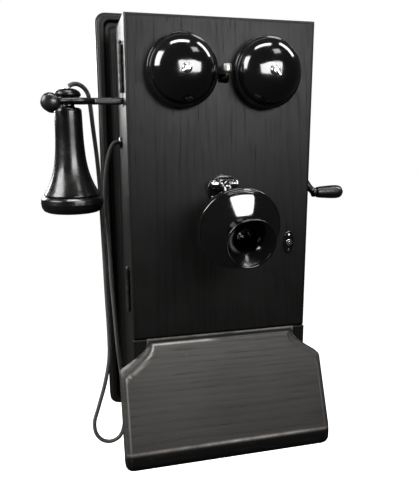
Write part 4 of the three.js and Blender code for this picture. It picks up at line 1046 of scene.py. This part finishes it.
# ------------------------------------------------------------------ crank
y, z = SHAFT
bush_prof = fillet([(4.4, -14.8), (6.6, -14.8), (6.6, 0), (14, 0.1, 0.2), (14, 1.2, 0.5), (11.4, 2.6, 0.8), (8, 3.3, 0.5), (4.4, 3.4)], 0.3, 4, True)
obj("shaft_bush", [lathe(bush_prof, Matrix.Translation((110.3, y, z)) @ Matrix.Rotation(PI / 2, 4, "Y"), 72)], M_HOOK, "case", "crank_bush")
obj("drive_shaft", [rod("x", 4, -66, 121, y, z, 0.5)], M_STEEL, "crank", "crank_shaft")
hy, hz = HANDLE
arm_path = smooth_path([(119, y, z - 2), (122.5, y - 0.2, z - 7), (127, y - 0.8, z - 13), (134, y - 2, z - 22), (141, -75.9, z - 33), (145.8, hy + 0.4, hz + 3.4), (149.6, hy, hz + 0.4), (151, hy, hz)], 6)
ar = [5.4 - 0.9 * math.sin(PI * k / (len(arm_path) - 1)) for k in range(len(arm_path))]
c_arm = obj("crank_lever", [rod("x", 8, 115, 125.5, y, z, 1.2), sweep(arm_path, ar, 24), rod("x", 6.4, 146.4, 151.4, hy, hz, 1.0)], M_HOOK, None)
cast(c_arm, 0.7, 4)
carve(c_arm, cutter([rod("x", 4.3, 110, 122.3, y, z, 0)]), angle=60)
pin = obj("handle_rivet", [rod("x", 2.4, 149, 190.6, hy, hz, 0.2), lathe(fillet([(0, 190.3), (4.4, 190.3, 0.2), (4.3, 191.0, 0.4), (2.6, 191.9, 0.6), (0, 192)], 0.2, 4), Matrix.Translation((0, hy, hz)) @ Matrix.Rotation(PI / 2, 4, "Y"), 32)], M_DULLNICKEL, "crank")
place(c_arm, "crank", "crank_arm")
grip = spline2([(5.8, 0.2), (7.0, 1.6), (7.7, 5), (8.2, 11), (8.7, 18), (9.05, 25), (9.05, 29.5), (8.5, 33.6), (7.2, 36.6), (5.6, 37.9)], 5)
obj("crank_grip", [lathe([(2.9, 0.0)] + [(5.2, 0.0)] + grip + [(5.0, 38.0), (2.9, 38.0)], Matrix.Translation((152, hy, hz)) @ Matrix.Rotation(PI / 2, 4, "Y"), 72)], M_GRIP, "handle", "crank_handle", angle=50)

# ------------------------------------------------------------------ generator
drum = fillet([(0, -51), (17.2, -51, 0.4), (19.4, -48.5, 0.4)], 0.4, 3)
for i in range(24):
    a = -48 + i * 4
    drum += [(19.4, a), (19.4, a + 3.2), (19.0, a + 3.4), (19.0, a + 3.8)]
drum += [(19.4, 48.5), (17.2, 51), (0, 51)]
obj("rotor_drum", [lathe(drum, Matrix.Translation((0, y, PINION_Z)) @ Matrix.Rotation(PI / 2, 4, "Y"), 72), rod("x", 3, -64, 66, y, PINION_Z, 0.4), rod("x", 3, 75.9, 79, y, PINION_Z, 0.4),
                   prism([((y + (9 + 1.23 * f) * math.cos(a)), PINION_Z + (9 + 1.23 * f) * math.sin(a)) for i in range(12) for a, f in
                          [(PI / 2 + 2 * PI * i / 12 - 0.145, -1.4), (PI / 2 + 2 * PI * i / 12 - 0.049, 1.0), (PI / 2 + 2 * PI * i / 12 + 0.049, 1.0), (PI / 2 + 2 * PI * i / 12 + 0.145, -1.4)]], 66, 76, "yz", 0.2)],
    M_IRON, "generator_rotor", "generator_armature")
teeth = []
for i in range(48):
    c = PI / 2 + PI / 48 + 2 * PI * i / 48
    w = (2 * PI / 48 / 4) * 0.74
    teeth += [(36 - 1.8, c - 1.5 * w), (36 + 1.23, c - 0.5 * w), (36 + 1.23, c + 0.5 * w), (36 - 1.8, c + 1.5 * w)]
wheel = obj("gear_wheel", [prism([(y + r * math.cos(a), z + r * math.sin(a)) for r, a in teeth], 68, 74, "yz", 0.15, 1, 25)], M_BRASS, None, angle=25)
web = [cutter([rod("x", 6.5, 66, 76, y + 20 * math.cos(PI / 3 * k + 0.5), z + 20 * math.sin(PI / 3 * k + 0.5), 0)]) for k in range(6)]
carve(wheel, cutter([rod("x", 4.3, 60, 80, y, z, 0)]), *web, angle=25)
place(wheel, "crank", "drive_gear")
for i, (a, b) in enumerate(((-54, -0.8), (0.8, 54))):
    mg = [(y - 28, 17), (y - 20.3, 17)] + [(y + 20.3 * math.cos(t), 88 + 20.3 * math.sin(t)) for t in [PI - PI * k / 24 for k in range(25)]] + [(y + 20.3, 17), (y + 28, 17)] + \
         [(y + 28 * math.cos(t), 88 + 28 * math.sin(t)) for t in [PI * k / 24 for k in range(25)]]
    obj(f"horseshoe_{i + 1}", [prism(mg, a, b, "yz", 0.8, 2, 40)], M_MAGNET, "case", f"generator_magnet_{i + 1}", angle=45)
for side, x in (("left", -60), ("right", 57)):
    e_ = obj(f"bearing_plate_{side}", [block(x, x + 3, y - 31, y + 31, 15.3, 100, 0.5)], M_BRASS, None)
    carve(e_, cutter([rod("x", 4.4, x - 3, x + 6, y, z, 0)]), cutter([rod("x", 3.4, x - 3, x + 6, y, PINION_Z, 0)]))
    even(e_)
    place(e_, "case", f"generator_end_{side}")

# ------------------------------------------------------------------ cells, coil, terminals
for side, x in (("left", -44), ("right", 44)):
    cell = fillet([(0, -234.6), (31.2, -234.6, 0.8), (32, -233.6, 0.5), (32, -87.6, 0.6), (31.2, -86.3, 0.6), (30.2, -86.3, 0.3), (30.0, -89.0, 0.3), (0, -89.0)], 0.4, 4)
    obj(f"cell_can_{side}", [lathe(cell, at(x, -68, 0), 96)], M_PAPER, "case", f"dry_cell_{side}")
    seal = lathe([(0, -89.2)] + spline2([(29.9, -89.2), (29.5, -87.9), (26, -87.2), (18, -87.6), (8, -87.1), (4.8, -87.0)], 4) + [(0, -87.0)], at(x, -68, 0), 72)
    obj(f"cell_seal_{side}", [seal, lathe(fillet([(0, -88), (5, -88), (5, -83.4, 0.5), (0, -83.4)], 0.4, 3), at(x, -68, 0), 32)], M_WAX, "case")
    nut = fillet([(0, -87), (3.0, -87, 0.2), (3.0, -84.8, 0.3), (1.2, -84.6), (1.2, -78.1, 0.3), (0, -78.1)], 0.2, 2)
    nut2 = fillet([(0, -83.5), (3.6, -83.5, 0.3), (3.6, -80.8, 0.3), (1.2, -80.6), (1.2, -78.1, 0.3), (0, -78.1)], 0.2, 2)
    obj(f"cell_nuts_{side}", [lathe(nut, at(x + 22, -68, 0), 24), lathe(nut2, at(x, -68, 0), 24)], M_BRASS, "case")
obj("coil_turns", [rod("x", 11, -38.2, 38.2, -38, -28, 0.5)], M_WIREX, "case", "induction_coil")
obj("coil_cheeks", [block(-42, -38, -53, -22.6, -43, -13, 0.7), block(38, 42, -53, -22.6, -43, -13, 0.7)], M_BLOCK, "case")
obj("terminal_strip", [block(-60, 60, -35, -22.6, -68, -52, 0.8)], M_BLOCK, "case", "terminal_block", weighted=True)
posts = []
for x in (-45, -15, 15, 45):
    posts += [lathe(fillet([(0, 0), (4.4, 0, 0.2), (4.4, 1.0, 0.2), (3.9, 1.2), (3.9, 3.6, 0.3), (4.4, 3.8), (4.4, 4.9, 0.3), (2.0, 5.1), (2.0, 9.8, 0.4), (0, 10)], 0.2, 3), facing(x, -35.0, -60), 32)]
obj("terminal_posts", posts, M_BRASS, "case")

# ------------------------------------------------------------------ switch hook
px, hy_, hz_ = HOOK["px"], HOOK["y"], HOOK["z"]
base = obj("hook_plate", [block(-96.7, -94.2, hy_ - 11, hy_ + 11, 139, 184, 0.4), block(-94.6, px + 7, hy_ - 8, hy_ - 5, hz_ - 9, hz_ + 9, 0.4), block(-94.6, px + 7, hy_ + 5, hy_ + 8, hz_ - 9, hz_ + 9, 0.4)], M_BRASS, None)
carve(base, cutter([block(-99, -92, hy_ - 5, hy_ + 5, 150, 178, 0)]), cutter([rod("y", 2, hy_ - 13, hy_ + 13, px, hz_, 0)]))
place(base, "case", "hook_bracket")
obj("hook_axle", [rod("y", 1.6, hy_ - 8.6, hy_ + 8.6, px, hz_, 0.3), rod("y", 3, hy_ + 8.3, hy_ + 10, px, hz_, 0.4)], M_STEEL, "case", "hook_pivot_pin")
blades = [block(-76, -50, hy_ - 3, hy_ + 3, a, a + 0.8, 0.15) for a in (146.5, 142, 137.5)]
obj("spring_pile", [block(-58, -46, hy_ - 6, hy_ + 6, 132, 148, 0.5)], M_BLOCK, "case")
obj("spring_blades", blades + [block(-96.7, -46, hy_ - 6, hy_ + 6, 125, 132, 0.5)], M_BRASS, "case", "contact_springs")

lever = [prism([(-146, 153.2), (-62, 154.2), (-62, 159.8), (-84, 161.6), (-146, 160.8)], hy_ - 3.3, hy_ + 3.3, "xz", 1.1, 3)]
for s in (-1, 1):
    tine = smooth_path([(-145, hy_ + s * 2.0, 157), (-150, hy_ + s * 7.0, 157), (-156, hy_ + s * 11.0, 157), (-164, hy_ + s * 12.2, 157), (-173, hy_ + s * 12.6, 156.8), (-181, hy_ + s * 15.0, 156), (-187, hy_ + s * 19.0, 155.2)], 6)
    n_t = len(tine)
    lever += [sweep(tine, [3.5 + 0.9 * max(0.0, (k / (n_t - 1) - 0.6)) for k in range(n_t)], 20)]
    lever += [ball(10.4, -190, hy_ + s * 23, 154.6, 1.0, 0.6, 1.0)]
hook = obj("hook_fork", lever, M_HOOK, None)
cast(hook, 0.75, 5)
carve(hook, cutter([rod("y", 1.95, hy_ - 6, hy_ + 6, px, hz_, 0)]), angle=60)
place(hook, "hook", "hook_lever")

# ------------------------------------------------------------------ receiver
rx, ry = REC
cap = fillet([(6, 37.4, 0.3), (30.6, 37.4, 0.3), (30.6, 44.0), (31.0, 50.0, 0.3), (32.8, 50.0, 0.9), (34.9, 47.6, 2.2), (35.6, 42.6, 3.0), (34.9, 37.4, 2.6), (32.6, 33.6, 2.6), (28.6, 31.7, 2.4), (24, 31.7, 1.2), (20, 32.6, 2), (14, 33.7, 2), (9, 34.3, 1.5), (6.6, 34.6, 0.6), (6, 35.2, 0.4)], 0.5, 6, True)
obj("ear_piece", [lathe(cap, at(rx, ry, 0), 128)], M_RUBBER, "receiver", "ear_cap", angle=50)
obj("ear_diaphragm", [lathe(fillet([(0, 44.2), (30.2, 44.2), (30.2, 44.8), (0, 44.8)], 0.1, 1), at(rx, ry, 0), 96)], M_IRON, "receiver", "receiver_diaphragm")
body_out = spline2([(15.1, 145.6), (15.3, 138), (15.5, 126), (15.9, 114), (16.7, 101.5), (18.0, 90), (20.1, 79.4), (23.2, 69.4), (27.0, 60.8), (30.0, 55.2), (31.4, 52.4)], 6)
body_in = spline2([(27.6, 50.3), (24.2, 58), (20.2, 68), (17.1, 80), (14.9, 94), (13.4, 108), (12.5, 125), (12.3, 142.6)], 5)
body = fillet([(0, 161), (7.2, 161, 0.3), (7.2, 151.4, 1.0), (8.6, 149.9, 0.6), (11.8, 149.7, 1.2), (14.3, 148.4, 1.4), (15.0, 146.2, 0.6)], 0.4, 5) + body_out + fillet([(31.5, 51.6, 0.4), (31.1, 50.4, 0.3), (28.6, 50.3)], 0.3, 3) + body_in + [(0, 143.6)]
obj("receiver_body", [lathe(body, at(rx, ry, 0), 128)], M_RUBBER, "receiver", "receiver_shell", angle=50)
tail = fillet([(0, 161.3), (13.2, 161.3, 0.6), (14.9, 162.6, 1.0), (15.0, 164.6, 1.4), (13.4, 167.5, 1.8), (10.2, 169.5, 2.0), (6.6, 170.5, 1.4), (3.2, 170.9, 0.6), (0, 171)], 0.5, 5)
obj("receiver_tail", [lathe(tail, at(rx, ry, 0), 96)], M_RUBBER, "receiver", "receiver_tail_cap", angle=50)
obj("receiver_bar_magnet", [block(rx + s * 7 - 2, rx + s * 7 + 2, ry - 5, ry + 5, 48, 134, 0.4) for s in (-1, 1)] + [block(rx - 9, rx + 9, ry - 5, ry + 5, 130, 140, 0.6), block(rx - 15, rx + 15, ry - 9, ry + 9, 47, 59, 0.6)],
    M_MAGNET, "receiver", "receiver_magnet")

# cord bushing in the case's side
bprof = fillet([(0, -3), (4.6, -3), (4.6, 0), (7.5, 0.1, 0.2), (7.5, 1.1, 0.4), (6.2, 2.6, 0.8), (4.4, 3.3, 0.6), (0, 3.4)], 0.3, 4)
obj("cord_grommet", [rod("x", 4.6, -111, -96, *BUSH, 0.4), lathe(bprof, Matrix.Translation((-110.3, *BUSH)) @ Matrix.Rotation(-PI / 2, 4, "Y"), 48)], M_RUBBER, "case", "cord_bushing")

# anything still shown from the frame gets a finish too
for n, o in nodes.items():
    if not o.hide_render:
        o.data.materials.clear()
        o.data.materials.append(M_BRASS)
        bv = o.modifiers.new("edges", "BEVEL")
        bv.width, bv.segments, bv.limit_method = 0.0003, 2, "ANGLE"

# ------------------------------------------------------------------ floor, light
FLOOR_Z = -0.95
fm = Tree("pale_floor")
tint = fm.mix(fm.noise(fm.place(), 3.0, 3), (0.9, 0.9, 0.9), (0.94, 0.94, 0.94))
fm.set(color=tint, rough=0.9, spec=0.1, emit_color=(1, 1, 1), emit=0.95)
me = bpy.data.meshes.new("floor")
N = 12
fv = [((i / N - 0.5) * 24, (j / N - 0.5) * 24, FLOOR_Z) for j in range(N + 1) for i in range(N + 1)]
ff = [(j * (N + 1) + i, j * (N + 1) + i + 1, (j + 1) * (N + 1) + i + 1, (j + 1) * (N + 1) + i) for j in range(N) for i in range(N)]
me.from_pydata(fv, [], ff)
me.materials.append(fm.m)
floor = bpy.data.objects.new("floor", me)
scene.collection.objects.link(floor)
floor.visible_glossy = False
floor.visible_diffuse = False

world = bpy.data.worlds.new("studio")
scene.world = world
world.use_nodes = True
wt = world.node_tree
wt.nodes.clear()
wo = wt.nodes.new("ShaderNodeOutputWorld")
wb = wt.nodes.new("ShaderNodeBackground")
wc = wt.nodes.new("ShaderNodeBackground")
wm = wt.nodes.new("ShaderNodeMixShader")
lp = wt.nodes.new("ShaderNodeLightPath")
wb.inputs[0].default_value = (1, 1, 1, 1)
wb.inputs[1].default_value = 0.05
wc.inputs[0].default_value = (1, 1, 1, 1)
wc.inputs[1].default_value = 1.0
wt.links.new(lp.outputs["Is Camera Ray"], wm.inputs[0])
wt.links.new(wb.outputs[0], wm.inputs[1])
wt.links.new(wc.outputs[0], wm.inputs[2])
wt.links.new(wm.outputs[0], wo.inputs[0])


def area(name, azimuth, elevation, distance, size_x, size_y, power, target=(0, -0.15, 0.05), spread=180, roll=0.0, glossy=True):
    """Softbox: azimuth 0 is in front (-Y), positive towards +X."""
    a, e = math.radians(azimuth), math.radians(elevation)
    d = Vector((math.sin(a) * math.cos(e), -math.cos(a) * math.cos(e), math.sin(e)))
    data = bpy.data.lights.new(name, "AREA")
    data.shape, data.size, data.size_y, data.energy = "RECTANGLE", size_x, size_y, power
    data.spread = math.radians(spread)
    o = bpy.data.objects.new(name, data)
    scene.collection.objects.link(o)
    o.location = Vector(target) + d * distance
    o.rotation_mode = "QUATERNION"
    q = (-d).to_track_quat("-Z", "Y")
    q.rotate(Matrix.Rotation(math.radians(roll), 3, d))
    o.rotation_quaternion = q
    o.visible_camera = False
    o.visible_glossy = glossy
    return o


area("window_left", -74, 31, 1.5, 0.85, 0.80, 34)
card = area("window_front", 17, 24.5, 0.62, 0.46, 0.20, 3.2, target=(0.0, -0.23, 0.03), spread=150)
card.visible_diffuse = False
area("window_right", 34, 44, 1.6, 0.34, 0.26, 2)
area("skylight", -8, 74, 1.5, 0.9, 0.30, 17)
area("back_left", -152, 17, 1.3, 0.9, 0.5, 16)
area("side_right", 84, 46, 1.6, 0.40, 0.8, 15)

scene.view_settings.view_transform = "Standard"
scene.view_settings.look = "None"
scene.view_settings.exposure = 0.0
scene.view_settings.gamma = 1.0
